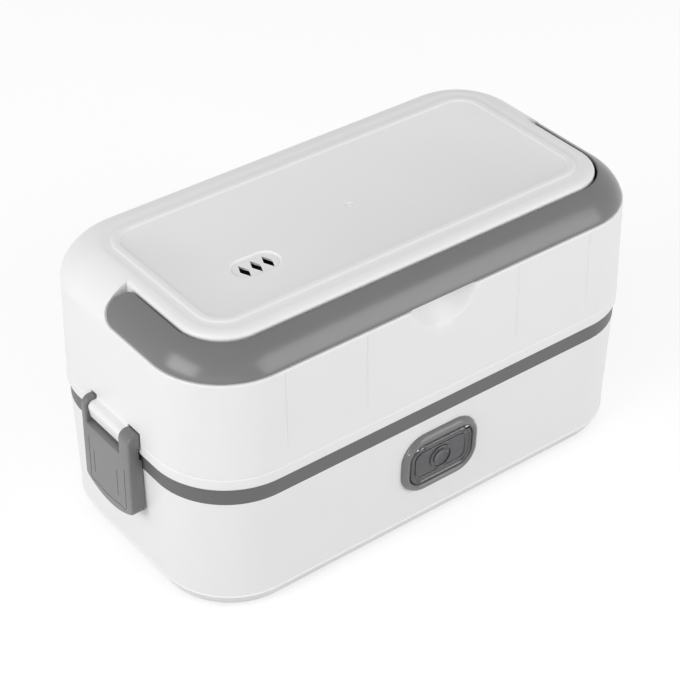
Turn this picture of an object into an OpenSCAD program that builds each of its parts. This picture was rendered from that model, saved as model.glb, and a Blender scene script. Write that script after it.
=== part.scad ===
// Electric lunch box: a long base that heats, a tall lid held by a latch at each short end,
// a carrying handle folded flush into the lid's shoulder, and trays that lift out.
// X runs along the length, the front with the power inlet faces -Y, and Z is up.
// The origin is on the surface that the feet stand on, under the middle of the body.

/* [Lid] */
// Length of the lid at its lower edge
lid_l = 230; // [215:1:250]
// Depth of the lid at its lower edge, front to back
lid_w = 123; // [115:1:135]
// Radius of the upright corners, seen from above
corner_r = 34; // [30:1:40]
// Height of the lid, from its lower edge to its flat top
lid_h = 62.6; // [60:0.1:75]
// Height of the rounded shoulder between wall and top
shoulder_h = 15.1; // [14.5:0.1:17]
// Reach of the shoulder inwards from the wall
shoulder_in = 17.6; // [16.5:0.1:20]
// Fullness of the shoulder: 2 is an ellipse, less is flatter
shoulder_full = 1.65; // [1.5:0.05:2]
// Wall thickness of the lid
lid_wall = 2.4; // [2:0.1:3]
// Lean of every moulded wall in degrees
draft = 1.43; // [0.5:0.01:2]
// Gap between the lid and the grey band when the box is closed
seam_gap = 0.3; // [0.2:0.05:0.6]

/* [Top panel] */
// Flat rim between the shoulder and the panel at the short ends
panel_end_rim = 2.55; // [1.5:0.05:6]
// Flat rim between the shoulder and the panel at the long sides
panel_side_rim = 3.2; // [2:0.05:6]
// Corner radius of the panel's outer line
panel_r = 12.6; // [8:0.1:18]
// Width of the raised border round the panel
border_b = 3.9; // [2:0.1:6]
// Height of the raised border above the top
border_h = 0.3; // [0.2:0.05:0.6]
// Width of the border's chamfered edges
border_edge = 0.5; // [0.3:0.05:0.8]

/* [Steam vents] */
// Number of diamond openings
vent_count = 3; // [2:1:4]
// Spacing of the openings along the length
vent_pitch = 5.5; // [4.5:0.1:6.5]
// Length of one opening, front to back
vent_l = 8; // [6:0.1:9]
// Width of one opening
vent_b = 3.3; // [2:0.1:4]
// Distance of the vents from the lid's middle, to the left
vent_x = 56; // [40:0.5:64]
// Distance of the vents from the lid's middle, to the front
vent_y = 14.3; // [5:0.1:18]
// Length of the shallow field round the vents
vent_field_l = 22; // [20:0.5:26]
// Depth of the shallow field, front to back
vent_field_w = 13; // [11:0.5:15]
// How deep the field is sunk
vent_field_deep = 0.5; // [0.3:0.05:0.8]
// Width of the flat frame of the baffle outside the field
baffle_frame = 4; // [3:0.1:6]
// Height of the baffle below the lid's top wall
baffle_h = 4; // [3:0.1:6]
// Wall thickness of the baffle
baffle_wall = 1.2; // [0.8:0.1:2]

/* [Handle] */
// Distance from the lid's outline to the raised middle of the top
handle_in = 14; // [13:0.1:15]
// Radius of the handle's round ends, half the height of its arms
arm_r = 6.4; // [5.5:0.1:6.8]
// Height of the handle's pivots above the foot of the shoulder
pivot_up = 8.2; // [7.4:0.1:8.6]
// Gap round the ends and below the handle
handle_gap = 0.5; // [0.4:0.05:0.8]
// Gap between the handle and the raised middle of the top
handle_side_gap = 0.8; // [0.7:0.05:1.2]
// How far the handle's outer face lies below the shoulder
handle_sunk = 0.2; // [0.1:0.05:0.4]
// Radius of the pivot pins on the handle
pivot_r = 3; // [2.5:0.1:3.5]
// Length of the pivot pins
pivot_len = 5; // [4.5:0.1:6]
// Wall round each pivot hole inside the lid
pivot_wall = 2.6; // [2:0.1:3]
// Wall thickness of the hollow handle
handle_wall = 2.2; // [1.8:0.1:3]
// Radius of the dished finger scoop
scoop_r = 30; // [26:0.5:36]
// Radius of the scoop's outline in the front wall
scoop_reach = 17.6; // [14:0.1:20]
// Height of the scoop's middle below the handle pivots
scoop_down = 1.1; // [0:0.1:3]

/* [Latches] */
// Width of each latch
latch_b = 34.4; // [32:0.2:38]
// Distance of the latch's hinge bar outside the lid's end
bar_out = 1.4; // [1.2:0.05:1.8]
// Height of the hinge bar above the lid's lower edge
bar_up = 6; // [5.6:0.1:6.6]
// Radius of the hinge bar
bar_r = 1.9; // [1.5:0.05:2.1]
// Outer radius of the hooks round the bar
hook_r = 3.8; // [3.5:0.05:4]
// Height of the latch, from its lowest point to the bar
latch_h = 39.9; // [36:0.1:42]
// How far the latch's lower end stands outside the lid's end
latch_out = 5.6; // [5.4:0.05:6.2]
// Thickness of the latch's front
latch_wall = 2; // [1.6:0.1:2.4]
// Radius of the curved lower edge
latch_arc_r = 32; // [26:1:40]
// Radius of the lower corners
latch_corner_r = 3; // [2:0.1:4]
// Width of the arm on the side that faces the front
near_arm_b = 7.5; // [6:0.1:8]
// Width of the other arm
far_arm_b = 3.3; // [3:0.1:4]
// Height of the window's lower edge below the lid
window_drop = 1.5; // [1.2:0.1:2]
// Depth of the catch's underside below the lid's lower edge
catch_drop = 17.7; // [16:0.1:19]
// Height of the catch on the base
catch_h = 3; // [2:0.1:4]
// Width of the catch
catch_b = 26; // [22:0.5:28]
// Reach of the catch from the wall of the base
catch_out = 2.7; // [2.2:0.05:2.9]
// Gap between the latch's lip and the wall of the base
catch_gap = 1.4; // [1:0.1:1.6]
// Gap between the latch's sides and the walls behind it
side_gap = 0.55; // [0.45:0.05:0.7]
// Wall inside the lid behind each hook
pocket_wall = 1.8; // [1.4:0.1:2]

/* [Base] */
// Height of the base shell
base_h = 55.1; // [54:0.1:65]
// Inset of the base and band from the lid's outline
band_in = 0.95; // [0.8:0.05:1.2]
// Height of the grey band between base and lid
band_h = 7.6; // [6.5:0.1:9]
// Wall thickness of the band
band_wall = 2.6; // [2.2:0.1:2.8]
// Thickness of the band's skirt round the edge of the deck
skirt_t = 1.15; // [0.9:0.05:1.3]
// Wall thickness of the base shell
base_wall = 2.4; // [2:0.1:2.8]
// Radius of the rounded lower edge
bottom_r = 10; // [8:0.5:12]
// Thickness of the floor
floor_t = 2.4; // [2:0.1:3]

/* [Liner] */
// Thickness of the liner's deck
deck_t = 2.4; // [2:0.1:3]
// Room between each end of the well's top and the outside of the base
well_in_x = 14.05; // [12.5:0.05:18]
// Room between each long side of the well's top and the outside of the base
well_in_y = 14.55; // [14:0.05:16.5]
// Corner radius of the well, outside
well_r = 22; // [18:0.5:24]
// Wall thickness of the well
well_wall = 1.8; // [1.5:0.1:2.2]
// Clear height between the base's floor and the well
well_room = 16.4; // [16:0.1:18]
// Height of the rib that drops inside the base shell
rib_h = 4; // [3:0.1:6]
// Thickness of that rib
rib_t = 1.6; // [1.2:0.1:2]
// Radius of the screw posts
post_r = 3.6; // [3.2:0.1:4]
// Distance of the screw posts in from the band's ends
post_in_x = 17.5; // [17:0.1:18]
// Distance of the screw posts in from the band's sides
post_in_y = 16; // [15.5:0.1:16.5]

/* [Screws and feet] */
// Radius of the screws that close the base
screw_r = 1.5; // [1.2:0.05:1.7]
// Radius of their heads
screw_head_r = 3; // [2.8:0.1:3.2]
// Height of their heads
screw_head_h = 2; // [1.5:0.1:2.4]
// Length of their threads
screw_len = 15; // [12:0.5:18]
// Height of the boss above the base's floor
boss_h = 6; // [5:0.1:8]
// Thickness of plastic under each screw's head
screw_seat = 2.4; // [2:0.1:3]
// Wall of the boss round the head of the screw
boss_wall = 1.8; // [1.4:0.1:2.2]
// Radius of the feet
foot_r = 6; // [5:0.1:7]
// How far the feet stand out below the base
foot_proud = 1.5; // [1:0.1:2]
// How deep the feet sit in the base
foot_sunk = 1; // [0.8:0.1:1.2]
// Distance of the feet in from the band's ends
foot_in_x = 30; // [28:0.5:36]
// Distance of the feet in from the band's sides
foot_in_y = 24; // [22:0.5:28]

/* [Heating] */
// Distance from each end of the well to the heating plate's land
plate_in_x = 25; // [22:0.5:30]
// Distance from each long side of the well to the land
plate_in_y = 21; // [19:0.5:23]
// Width of the flange round the land
plate_flange = 8; // [7:0.5:10]
// Thickness of the plate's flange
plate_t = 2; // [1.5:0.1:2.4]
// Corner radius of the land
plate_r = 8; // [6:0.5:12]
// Length of the heater block
heater_l = 70; // [60:1:80]
// Depth of the heater block, front to back
heater_w = 16; // [14:0.5:20]
// Height of the heater block
heater_h = 6; // [5:0.1:6.6]
// Width of the clamp under the heater
clamp_b = 12; // [10:0.5:14]
// Thickness of the clamp's strip
clamp_t = 1.2; // [0.8:0.1:1.5]
// Length of each foot of the clamp
clamp_foot = 9; // [8:0.5:12]
// Radius of the clamp's screws
clamp_screw_r = 1.4; // [1.2:0.05:1.5]
// Distance of the thermostat and the fuse from the middle
sensor_x = 60; // [56:0.5:64]
// Radius of the thermostat's body
thermostat_r = 8; // [7:0.1:9]
// Height of the thermostat's body
thermostat_h = 6.5; // [6:0.1:8]
// Length of the thermal fuse
fuse_l = 11; // [9:0.5:13]
// Radius of the thermal fuse
fuse_r = 2; // [1.8:0.1:2.4]
// Radius of the wires
wire_r = 1; // [0.8:0.05:1.1]

/* [Power inlet] */
// Height of the inlet's middle above the foot surface
inlet_z = 35.3; // [34:0.1:37]
// Width of the grey frame
bezel_l = 39.4; // [38:0.1:42]
// Height of the grey frame
bezel_h = 29; // [28:0.1:30]
// Corner radius of the frame
bezel_r = 11.5; // [10:0.1:13]
// How far the frame stands out of the wall
bezel_proud = 2.5; // [2.3:0.1:3]
// Width of the opening that the flap closes
port_l = 33; // [32:0.1:34]
// Height of that opening
port_h = 21; // [20:0.1:22]
// Corner radius of that opening
port_r = 7; // [5:0.1:8]
// Wall of the frame's spigot through the base
spigot_t = 1.1; // [0.8:0.1:1.3]
// Gap round the flap
flap_gap = 0.5; // [0.35:0.05:0.7]
// Thickness of the flap
flap_t = 1.4; // [1.2:0.1:1.6]
// Width of the flap beside its hinge
flap_top_l = 25; // [23:0.5:26]
// Radius of the flap's hinge barrel
barrel_r = 1.3; // [1.2:0.05:1.5]
// Radius of the flap's hinge pin
flap_pin_r = 0.6; // [0.5:0.05:0.75]
// Radius of the round button shape on the flap
button_r = 6; // [5:0.1:7]
// Height of the round button shape
button_h = 0.5; // [0.3:0.05:0.6]
// Width of the socket's cup, outside
socket_l = 28; // [26:0.1:29]
// Height of the socket's cup, outside
socket_h = 16; // [15:0.1:17]
// Wall thickness of the socket
socket_wall = 1.8; // [1.4:0.1:2]
// Depth of the socket behind the wall of the base
socket_deep = 8.6; // [8:0.1:8.8]
// Radius of the contact pins
contact_r = 2; // [1.8:0.05:2.2]
// Spacing of the contact pins
contact_pitch = 14; // [13:0.1:15]

/* [Trays] */
// Gap between the steel tray and the well
tray_gap = 0.8; // [0.5:0.05:1.2]
// Wall thickness of the steel tray
steel_t = 0.6; // [0.5:0.05:0.8]
// Width of the steel tray's rim
steel_rim = 5; // [4:0.1:6]
// Height of the steel tray's turned rim
steel_rim_h = 2; // [1.5:0.1:2.5]
// Radius between wall and bottom of the steel tray
steel_foot_r = 6; // [4:0.5:8]
// Gap between the steel tray and the heating plate
plate_gap = 0.3; // [0.2:0.05:0.4]
// Room between each end of the upper tray and the lid's outside
tray_in_x = 15; // [13:0.5:19]
// Room between each long side of the upper tray and the lid's outside
tray_in_y = 14.5; // [12.5:0.5:16.5]
// Corner radius of the upper tray
tray_r = 24; // [20:0.5:26]
// Height of the upper tray above the steel tray's rim
tray_h = 40; // [34:0.5:41]
// Wall thickness of the upper tray
tray_wall = 1.6; // [1.4:0.1:2]
// Height of the upper tray's foot inside the steel tray
tray_foot_h = 1.7; // [1.2:0.1:1.8]
// Thickness of the tray's cover
cover_t = 1.6; // [1.4:0.1:2]
// Height of the cover's skirt
cover_skirt = 4.5; // [4:0.1:6]
// Gap between the cover's skirt and the tray
cover_gap = 0.4; // [0.35:0.05:0.6]
// Height of the cover's gasket
gasket_h = 1.5; // [1.2:0.1:2]

/* [Lid seal] */
// Thickness of the seal
seal_t = 1.6; // [1.3:0.1:2]
// Height of the seal's head against the lid's wall
seal_head_h = 2.6; // [2:0.1:3.5]
// How far the seal's lip drops below the lid's lower edge
seal_drop = 2; // [1:0.1:2.5]
// Gap between the seal and the band
seal_clear = 0.35; // [0.3:0.05:0.5]

/* [Fits] */
// Radial clearance of pins in their holes
pin_fit = 0.05; // [0.02:0.01:0.1]
// Gap between parts that plug together
plug_fit = 0.15; // [0.1:0.05:0.25]
// Gap between parts that move past each other
move_gap = 0.4; // [0.35:0.05:0.5]

/* [Hidden] */
$fn = 96;
eps = 0.01;
white = [0.93, 0.93, 0.93];
grey = [0.56, 0.56, 0.57];
steel = [0.78, 0.78, 0.8];
lean = tan(draft);

// Levels, from the feet up
base_z0 = foot_proud;
floor_z = base_z0 + floor_t;
base_z1 = base_z0 + base_h;
deck_z = base_z1 + deck_t;
band_z = base_z1 + band_h;
lid_z = band_z + seam_gap;
top_z = lid_z + lid_h;
shoulder_z = top_z - shoulder_h;
well_z = floor_z + well_room;

// The lid's wall leans in by this much up to the foot of the shoulder
wall_lean = lean * (shoulder_z - lid_z);
// The lid has lost this much wall by the time its top is flat
flat_in = wall_lean + shoulder_in;
panel_l = lid_l - 2 * (flat_in + panel_end_rim);
panel_w = lid_w - 2 * (flat_in + panel_side_rim);
shoulder_steps = 14;

// Handle
pivot_z = shoulder_z + pivot_up;
recess_r = arm_r + handle_gap;
handle_face = handle_in - handle_side_gap;
handle_end_x = lid_l / 2 - handle_face;
scoop_y = -(lid_w / 2 - wall_lean) - sqrt(pow(scoop_r, 2) - pow(scoop_reach, 2));
scoop_z = pivot_z - scoop_down;

// Latches, for the left end; o is the distance outwards along -X
mouth_b = 1.6 * bar_r;
mouth_turn = 30;
bar_o = lid_l / 2 + bar_out;
bar_z = lid_z + bar_up;
latch_z0 = bar_z - latch_h;
latch_o = lid_l / 2 + latch_out;
window_z = lid_z - window_drop;
near_y = -latch_b / 2 + near_arm_b;
far_y = latch_b / 2 - far_arm_b;
catch_z = lid_z - catch_drop;
base_end = lid_l / 2 - band_in;
catch_wall = base_end - lean * (base_z1 - catch_z);
catch_o = catch_wall + catch_out;
pocket_r = hook_r + move_gap;
stub_y0 = -latch_b / 2 + latch_wall;

// Base outline at its top, shared with the band
band_l = lid_l - 2 * band_in;
band_w = lid_w - 2 * band_in;
band_r = corner_r - band_in;
well_l = band_l - 2 * well_in_x;
well_w = band_w - 2 * well_in_y;
plate_l = well_l - 2 * plate_in_x;
plate_w = well_w - 2 * plate_in_y;
rib_in = base_wall + plug_fit;
post_x = band_l / 2 - post_in_x;
post_y = band_w / 2 - post_in_y;
foot_gap = 0.1;
foot_x = band_l / 2 - foot_in_x;
foot_y = band_w / 2 - foot_in_y;
boss_top = floor_z + boss_h;

// Heating
plate_z = well_z - plate_t;
land_z = well_z + well_wall + plug_fit;
clamp_z = plate_z - heater_h - clamp_t;
clamp_leg_x = heater_l / 2 + plug_fit;
sensor_tab_y = thermostat_r - 1;
sensor_tab_h = 2;

// Inlet, on the leaning front wall
wall_y = -(band_w / 2 - lean * (base_z1 - inlet_z));
flap_l = port_l - 2 * flap_gap;
flap_h = port_h - 2 * flap_gap;
flap_y = -(bezel_proud - flap_gap - flap_t / 2);
flap_axis_z = flap_h / 2 - barrel_r;
barrel_l = flap_l - 2 * (port_r - flap_gap);
flap_pin_l = port_l + 2 * spigot_t;
socket_back = base_wall + socket_deep;
tail_len = 2.2;
tab_t = 1.2;
tab_h = 6;
pin_end_gap = 0.1;
wire_y = wall_y + cos(draft) * (socket_back + tail_len / 2);
wire_z = inlet_z - contact_r - tab_h;
wire_low = floor_z + 3;
wire_x = contact_pitch / 2;

// Trays
steel_l = well_l - 2 * (well_wall + tray_gap);
steel_w = well_w - 2 * (well_wall + tray_gap);
steel_r = well_r - well_wall - tray_gap;
steel_z0 = land_z + plate_gap;
steel_top = deck_z + steel_rim_h;
tray_l = lid_l - 2 * tray_in_x;
tray_w = lid_w - 2 * tray_in_y;
tray_z1 = steel_top + tray_h;
cover_z = tray_z1 + gasket_h;
cover_l = tray_l + 2 * (cover_gap + cover_t);
cover_w = tray_w + 2 * (cover_gap + cover_t);
cover_r = tray_r + cover_gap + cover_t;

// Seal
seal_rise = 0.5;
seal_ledge_z = lid_z + seal_head_h + seal_rise;
seal_face = band_in + band_wall + seal_clear;

function arc(cx, cy, r, a0, a1, n) =
    [for (i = [0:n]) let (a = a0 + (a1 - a0) * i / n) [cx + r * cos(a), cy + r * sin(a)]];

// Sweeps a profile round a rectangle with round corners. The profile is given as
// [distance outside the outline, height], and may reach in as far as the corner radius.
module sweep(l, w, r, profile) {
    from_axis = [for (p = profile) [r + p[0] < eps ? 0 : r + p[0], p[1]]];
    for (sx = [0, 1], sy = [0, 1])
        mirror([sx, 0, 0])
            mirror([0, sy, 0])
                translate([l / 2 - r, w / 2 - r, 0])
                    rotate_extrude(angle = 90)
                        polygon(from_axis);
    for (s = [0, 1])
        mirror([s, 0, 0])
            translate([l / 2 - r, w / 2 - r, 0])
                rotate([90, 0, 0])
                    linear_extrude(w - 2 * r)
                        polygon(from_axis);
    for (s = [0, 1])
        mirror([0, s, 0])
            translate([-(l / 2 - r), w / 2 - r, 0])
                rotate([90, 0, 90])
                    linear_extrude(l - 2 * r)
                        polygon(from_axis);
}

// A swept solid with its middle filled between two heights
module swept_solid(l, w, r, profile, z0, z1) {
    sweep(l, w, r, profile);
    translate([-(l / 2 - r), -(w / 2 - r), z0])
        cube([l - 2 * r, w - 2 * r, z1 - z0]);
}

// A flat plate with round corners
module slab(l, w, r, z0, z1) {
    translate([0, 0, z0])
        linear_extrude(z1 - z0) {
            square([l - 2 * r, w], center = true);
            square([l, w - 2 * r], center = true);
            for (x = [-1, 1], y = [-1, 1])
                translate([x * (l / 2 - r), y * (w / 2 - r)])
                    circle(r);
        }
}

// A tube standing on a rounded rectangle, with a wall that leans in towards its foot
module leaning_solid(l, w, r, z0, z1, foot_r) {
    d = lean * (z1 - z0);
    pts = concat(
        [[-r, z0]],
        arc(-d - foot_r, z0 + foot_r, foot_r, -90, 0, 8),
        [[0, z1], [-r, z1]]);
    swept_solid(l, w, r, pts, z0, z1);
}

// Lid

// The lid's outer shape, shrunk by a distance on every side
module lid_form(inset) {
    z0 = inset > 0 ? lid_z - 2 : lid_z;
    low = inset - lean * (lid_z - z0);
    a = shoulder_in - inset / 2;
    b = shoulder_h - inset;
    power = 2 / shoulder_full;
    shoulder = [for (i = [0:shoulder_steps])
        let (t = 90 * i / shoulder_steps)
        [-inset - wall_lean - a * (1 - pow(cos(t), power)), shoulder_z + b * pow(sin(t), power)]];
    pts = concat([[-corner_r, z0], [-low, z0]], shoulder, [[-corner_r, shoulder_z + b]]);
    swept_solid(lid_l, lid_w, corner_r, pts, z0, shoulder_z + b);
}

// The outline of the raised middle, shrunk by a distance
module plateau(inset, z0, z1) {
    cut = handle_in + inset;
    slab(lid_l - 2 * cut, lid_w - 2 * cut, corner_r - cut, z0, z1);
}

// The channel that the handle folds into, grown by a wall thickness
module handle_channel(grow) {
    r = recess_r + grow;
    difference() {
        union() {
            translate([-lid_l, -lid_w, pivot_z - r])
                cube([2 * lid_l, lid_w, r + lid_h]);
            translate([-lid_l, -eps, pivot_z])
                cube([2 * lid_l, r + eps, lid_h]);
            translate([-lid_l, 0, pivot_z])
                rotate([0, 90, 0])
                    cylinder(r = r, h = 2 * lid_l);
        }
        plateau(grow, lid_z, top_z + lid_h);
    }
}

module panel_border() {
    pts = [[0, top_z - lid_wall / 2], [0, top_z], [-border_edge, top_z + border_h],
        [border_edge - border_b, top_z + border_h], [-border_b, top_z],
        [-border_b, top_z - lid_wall / 2]];
    sweep(panel_l, panel_w, panel_r, pts);
}

module vent_cut() {
    translate([-vent_x, -vent_y, 0]) {
        slab(vent_field_l, vent_field_w, vent_field_w / 2 - eps, top_z - vent_field_deep, top_z + 1);
        for (i = [0:vent_count - 1])
            translate([(i - (vent_count - 1) / 2) * vent_pitch, 0, top_z - lid_wall - 2])
                linear_extrude(lid_wall + 3)
                    polygon([[0, -vent_l / 2], [vent_b / 2, 0], [0, vent_l / 2], [-vent_b / 2, 0]]);
    }
}

// The moulded bulge at the left end that carries the latch's hinge bar
module latch_boss() {
    e = lid_l / 2;
    round_r = 2.4;
    lower_r = 1.2;
    low_o = bar_o + lower_r / 2;
    head_z = bar_z - move_gap;
    pts = concat(
        [[e - 1, lid_z], [low_o, lid_z]],
        arc(low_o, lid_z + lower_r, lower_r, -90, 0, 5),
        arc(bar_o, head_z, round_r, 0, 90, 8),
        [[e - lid_wall / 2, head_z + round_r + move_gap]]);
    along_y(near_y + move_gap, far_y - move_gap)
        mirror([1, 0])
            polygon(pts);
}

// Extrudes a shape drawn in X and Z from one Y to another
module along_y(y0, y1) {
    translate([0, y1, 0])
        rotate([90, 0, 0])
            linear_extrude(y1 - y0)
                children();
}

module y_rod(r, y0, y1) {
    translate([-bar_o, y0, bar_z])
        rotate([-90, 0, 0])
            cylinder(r = r, h = y1 - y0);
}

// Both ends carry the same thing, turned half round
module both_ends() {
    for (a = [0, 180])
        rotate([0, 0, a])
            children();
}

module hook_pockets(r, side) {
    y_rod(r, -latch_b / 2 - side, near_y + side);
    y_rod(r, far_y - side, latch_b / 2 + side);
}

module pivot_boss() {
    for (s = [-1, 1])
        translate([s * (lid_l / 2 - handle_in - lid_wall / 2), 0, pivot_z])
            rotate([0, -90 * s, 0])
                cylinder(r = pivot_r + pivot_wall, h = pivot_len);
}

module lid_seal_ledge() {
    in = lid_wall - eps;
    z = seal_ledge_z;
    reach = in + 2 * seal_t;
    ledge_t = 1.2;
    pts = [[-in, z], [-reach, z], [-reach, z + ledge_t], [-in, z + 2 * ledge_t]];
    sweep(lid_l, lid_w, corner_r, pts);
}

module lid_shell() {
    color(white)
        difference() {
            union() {
                difference() {
                    union() {
                        difference() {
                            lid_form(0);
                            difference() {
                                lid_form(lid_wall);
                                handle_channel(lid_wall);
                            }
                        }
                        intersection() {
                            lid_form(lid_wall / 2);
                            translate([0, scoop_y, scoop_z])
                                sphere(r = scoop_r + lid_wall);
                        }
                        both_ends()
                            intersection() {
                                translate([-lid_l / 2 - eps, -lid_w / 2, seal_ledge_z])
                                    cube([lid_l / 2, lid_w, lid_h / 2]);
                                union() {
                                    lid_form(eps);
                                    lid_form(0);
                                }
                                hook_pockets(pocket_r + pocket_wall, move_gap + pocket_wall);
                            }
                        lid_seal_ledge();
                        pivot_boss();
                    }
                    handle_channel(0);
                    translate([0, scoop_y, scoop_z])
                        sphere(r = scoop_r);
                    both_ends()
                        hook_pockets(pocket_r, move_gap);
                }
                both_ends()
                    latch_boss();
                both_ends()
                    y_rod(bar_r, stub_y0 + move_gap, latch_b / 2);
                panel_border();
            }
            vent_cut();
            translate([-lid_l, 0, pivot_z])
                rotate([0, 90, 0])
                    cylinder(r = pivot_r + pin_fit, h = 2 * lid_l);
        }
}

module lid_seal() {
    in = lid_wall;
    out = seal_face;
    z1 = seal_ledge_z;
    z0 = lid_z - seal_drop;
    zh = z1 - seal_head_h;
    lean_in = in + lean * (z1 - lid_z);
    pts = [[-lean_in, zh], [-out, zh], [-out, z0], [-out - seal_t, z0], [-out - seal_t, z1],
        [-lean_in, z1]];
    color([0.85, 0.85, 0.86])
        sweep(lid_l, lid_w, corner_r, pts);
}

// A shallow cup under the vents that catches splashes and lets steam out at its sides
module vent_baffle() {
    l = vent_field_l + 2 * baffle_frame;
    w = vent_field_w + 2 * baffle_frame;
    roof = top_z - lid_wall;
    foot_l = baffle_frame;
    color([0.85, 0.85, 0.86])
        translate([-vent_x, -vent_y, 0]) {
            slab(l, w, baffle_frame, roof - baffle_h, roof - baffle_h + baffle_wall);
            for (x = [-1, 1], y = [-1, 1])
                translate([x * (l - foot_l) / 2 - baffle_wall, y * (w / 2 - foot_l / 2) - baffle_wall,
                        roof - baffle_h])
                    cube([2 * baffle_wall, 2 * baffle_wall, baffle_h]);
        }
}

// Handle

module handle_slot(r, back) {
    translate([-lid_l, -lid_w, pivot_z - r])
        cube([2 * lid_l, lid_w + back, r + lid_h]);
    translate([-lid_l, 0, pivot_z])
        rotate([0, 90, 0])
            cylinder(r = r, h = 2 * lid_l);
}

module handle() {
    core_y = -(pivot_r + 3 * handle_wall);
    face_t = 1.5 * handle_wall;
    color(grey) {
        difference() {
            intersection() {
                lid_form(handle_sunk);
                handle_slot(arm_r, 0);
            }
            plateau(-handle_side_gap, lid_z, top_z + 1);
            // The bar and the arms are cored out from the side that faces the lid
            intersection() {
                difference() {
                    lid_form(handle_sunk + face_t);
                    plateau(-handle_side_gap - 1, lid_z, top_z);
                }
                translate([-lid_l, -lid_w, pivot_z - arm_r + handle_wall])
                    cube([2 * lid_l, lid_w + core_y, 2 * (arm_r - handle_wall)]);
            }
            plateau_ring_cut(core_y);
        }
        for (s = [-1, 1])
            translate([s * (handle_end_x + eps), 0, pivot_z])
                rotate([0, -90 * s, 0])
                    cylinder(r = pivot_r, h = pivot_len + eps);
    }
}

// Opens the handle's hollow towards the lid
module plateau_ring_cut(core_y) {
    intersection() {
        plateau(-handle_side_gap - 1 - eps, pivot_z - arm_r + handle_wall,
            pivot_z + arm_r - 2 * handle_wall);
        translate([-lid_l, -lid_w, lid_z])
            cube([2 * lid_l, lid_w + core_y, lid_h]);
    }
}

// Latches

// The latch seen from outside, as [y, z] points, shrunk by a distance
function latch_outline(inset) =
    let (half = latch_b / 2 - inset,
        big = latch_arc_r - inset,
        r = latch_corner_r - inset / 2,
        zc = latch_z0 + latch_arc_r,
        cy = half - r,
        cz = zc - sqrt(pow(big - r, 2) - pow(cy, 2)),
        a = asin(cy / (big - r)),
        top = bar_z + hook_r + 1)
    concat(
        [[-half, top]],
        arc(-cy, cz, r, 180, 270 - a, 5),
        arc(0, zc, big, 270 - a * 7 / 8, 270 + a * 7 / 8, 14),
        arc(cy, cz, r, 270 + a, 360, 5),
        [[half, top]]);

module latch_block(inset) {
    translate([-latch_o - 1, 0, 0])
        rotate([90, 0, 90])
            linear_extrude(latch_out + 4)
                polygon(latch_outline(inset));
}

module left_latch_shape() {
    side_o = base_end + side_gap;
    upper_o = lid_l / 2 + side_gap;
    low = latch_z0 - 1;
    step_z = window_z - 1;
    hook_end = 180 + acos((bar_o - upper_o) / hook_r);
    outer = concat(
        [[side_o, low], [latch_o, low]],
        arc(bar_o, bar_z, hook_r, 0, hook_end, 28),
        [[upper_o, step_z], [side_o, step_z - 1]]);
    inner = [[0, low], [latch_o - latch_wall, low],
        [bar_o + hook_r - latch_wall, step_z - latch_wall], [0, step_z - latch_wall]];
    lip_z = catch_z - seam_gap;
    lip_o = latch_o - latch_wall + move_gap;
    lip_in = catch_wall + catch_gap;
    lip_t = 1.5;
    lip_root = 4;
    lip = [[lip_o, lip_z - lip_root], [lip_in, lip_z - lip_t], [lip_in, lip_z], [lip_o, lip_z]];
    difference() {
        union() {
            difference() {
                intersection() {
                    latch_block(0);
                    along_y(-latch_b, latch_b)
                        mirror([1, 0])
                            polygon(outer);
                }
                intersection() {
                    latch_block(latch_wall);
                    along_y(-latch_b, latch_b)
                        mirror([1, 0])
                            polygon(inner);
                }
                translate([-latch_o - 1, near_y, window_z])
                    cube([latch_out + 9, far_y - near_y, lid_h]);
                // The lower edge is open behind the front, so that the lid can lift past the catch
                translate([-latch_o + latch_wall, -catch_b / 2 - move_gap, low - 1])
                    cube([latch_o, catch_b + 2 * move_gap, catch_z - low]);
            }
            along_y(-catch_b / 2 + 1, catch_b / 2 - 1)
                mirror([1, 0])
                    polygon(lip);
        }
        y_rod(bar_r + pin_fit, stub_y0, latch_b / 2 + 1);
        // The mouth that lets the hooks snap over the bar
        translate([-bar_o, 0, bar_z])
            rotate([0, mouth_turn, 0])
                translate([0, stub_y0 - move_gap, -mouth_b / 2])
                    cube([hook_r + 1, latch_b, mouth_b]);
    }
}

module left_latch() {
    color(grey)
        left_latch_shape();
}

module right_latch() {
    color(grey)
        rotate([0, 0, 180])
            left_latch_shape();
}

// Base

module base_form(inset, z0) {
    r = bottom_r - inset;
    drop = lean * (base_z1 - (z0 + r));
    cu = -inset - drop - r / cos(draft);
    top = inset > 0 ? base_z1 + 1 : base_z1;
    pts = concat(
        [[-band_r, z0]],
        arc(cu, z0 + r, r, -90, -draft, 10),
        [[-inset + lean * (top - base_z1), top], [-band_r, top]]);
    swept_solid(band_l, band_w, band_r, pts, z0, top);
}

module at_corners(x, y) {
    for (sx = [-1, 1], sy = [-1, 1])
        translate([sx * x, sy * y, 0])
            children();
}

// Puts a part on the front wall: Y = 0 is the wall's outer face there and Z = 0 the
// inlet's middle
module on_front_wall() {
    translate([0, wall_y, inlet_z])
        rotate([draft, 0, 0])
            children();
}

// A plate with round corners, standing in the front wall's frame from one Y to another
module front_slab(l, h, r, y0, y1) {
    translate([0, y1, 0])
        rotate([90, 0, 0])
            slab(l, h, r, 0, y1 - y0);
}

module catch() {
    edge_h = 0.8;
    pts = [[catch_wall - 1, catch_z], [catch_o, catch_z], [catch_o, catch_z + edge_h],
        [catch_wall - 1, catch_z + catch_h]];
    along_y(-catch_b / 2, catch_b / 2)
        mirror([1, 0])
            polygon(pts);
}

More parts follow.
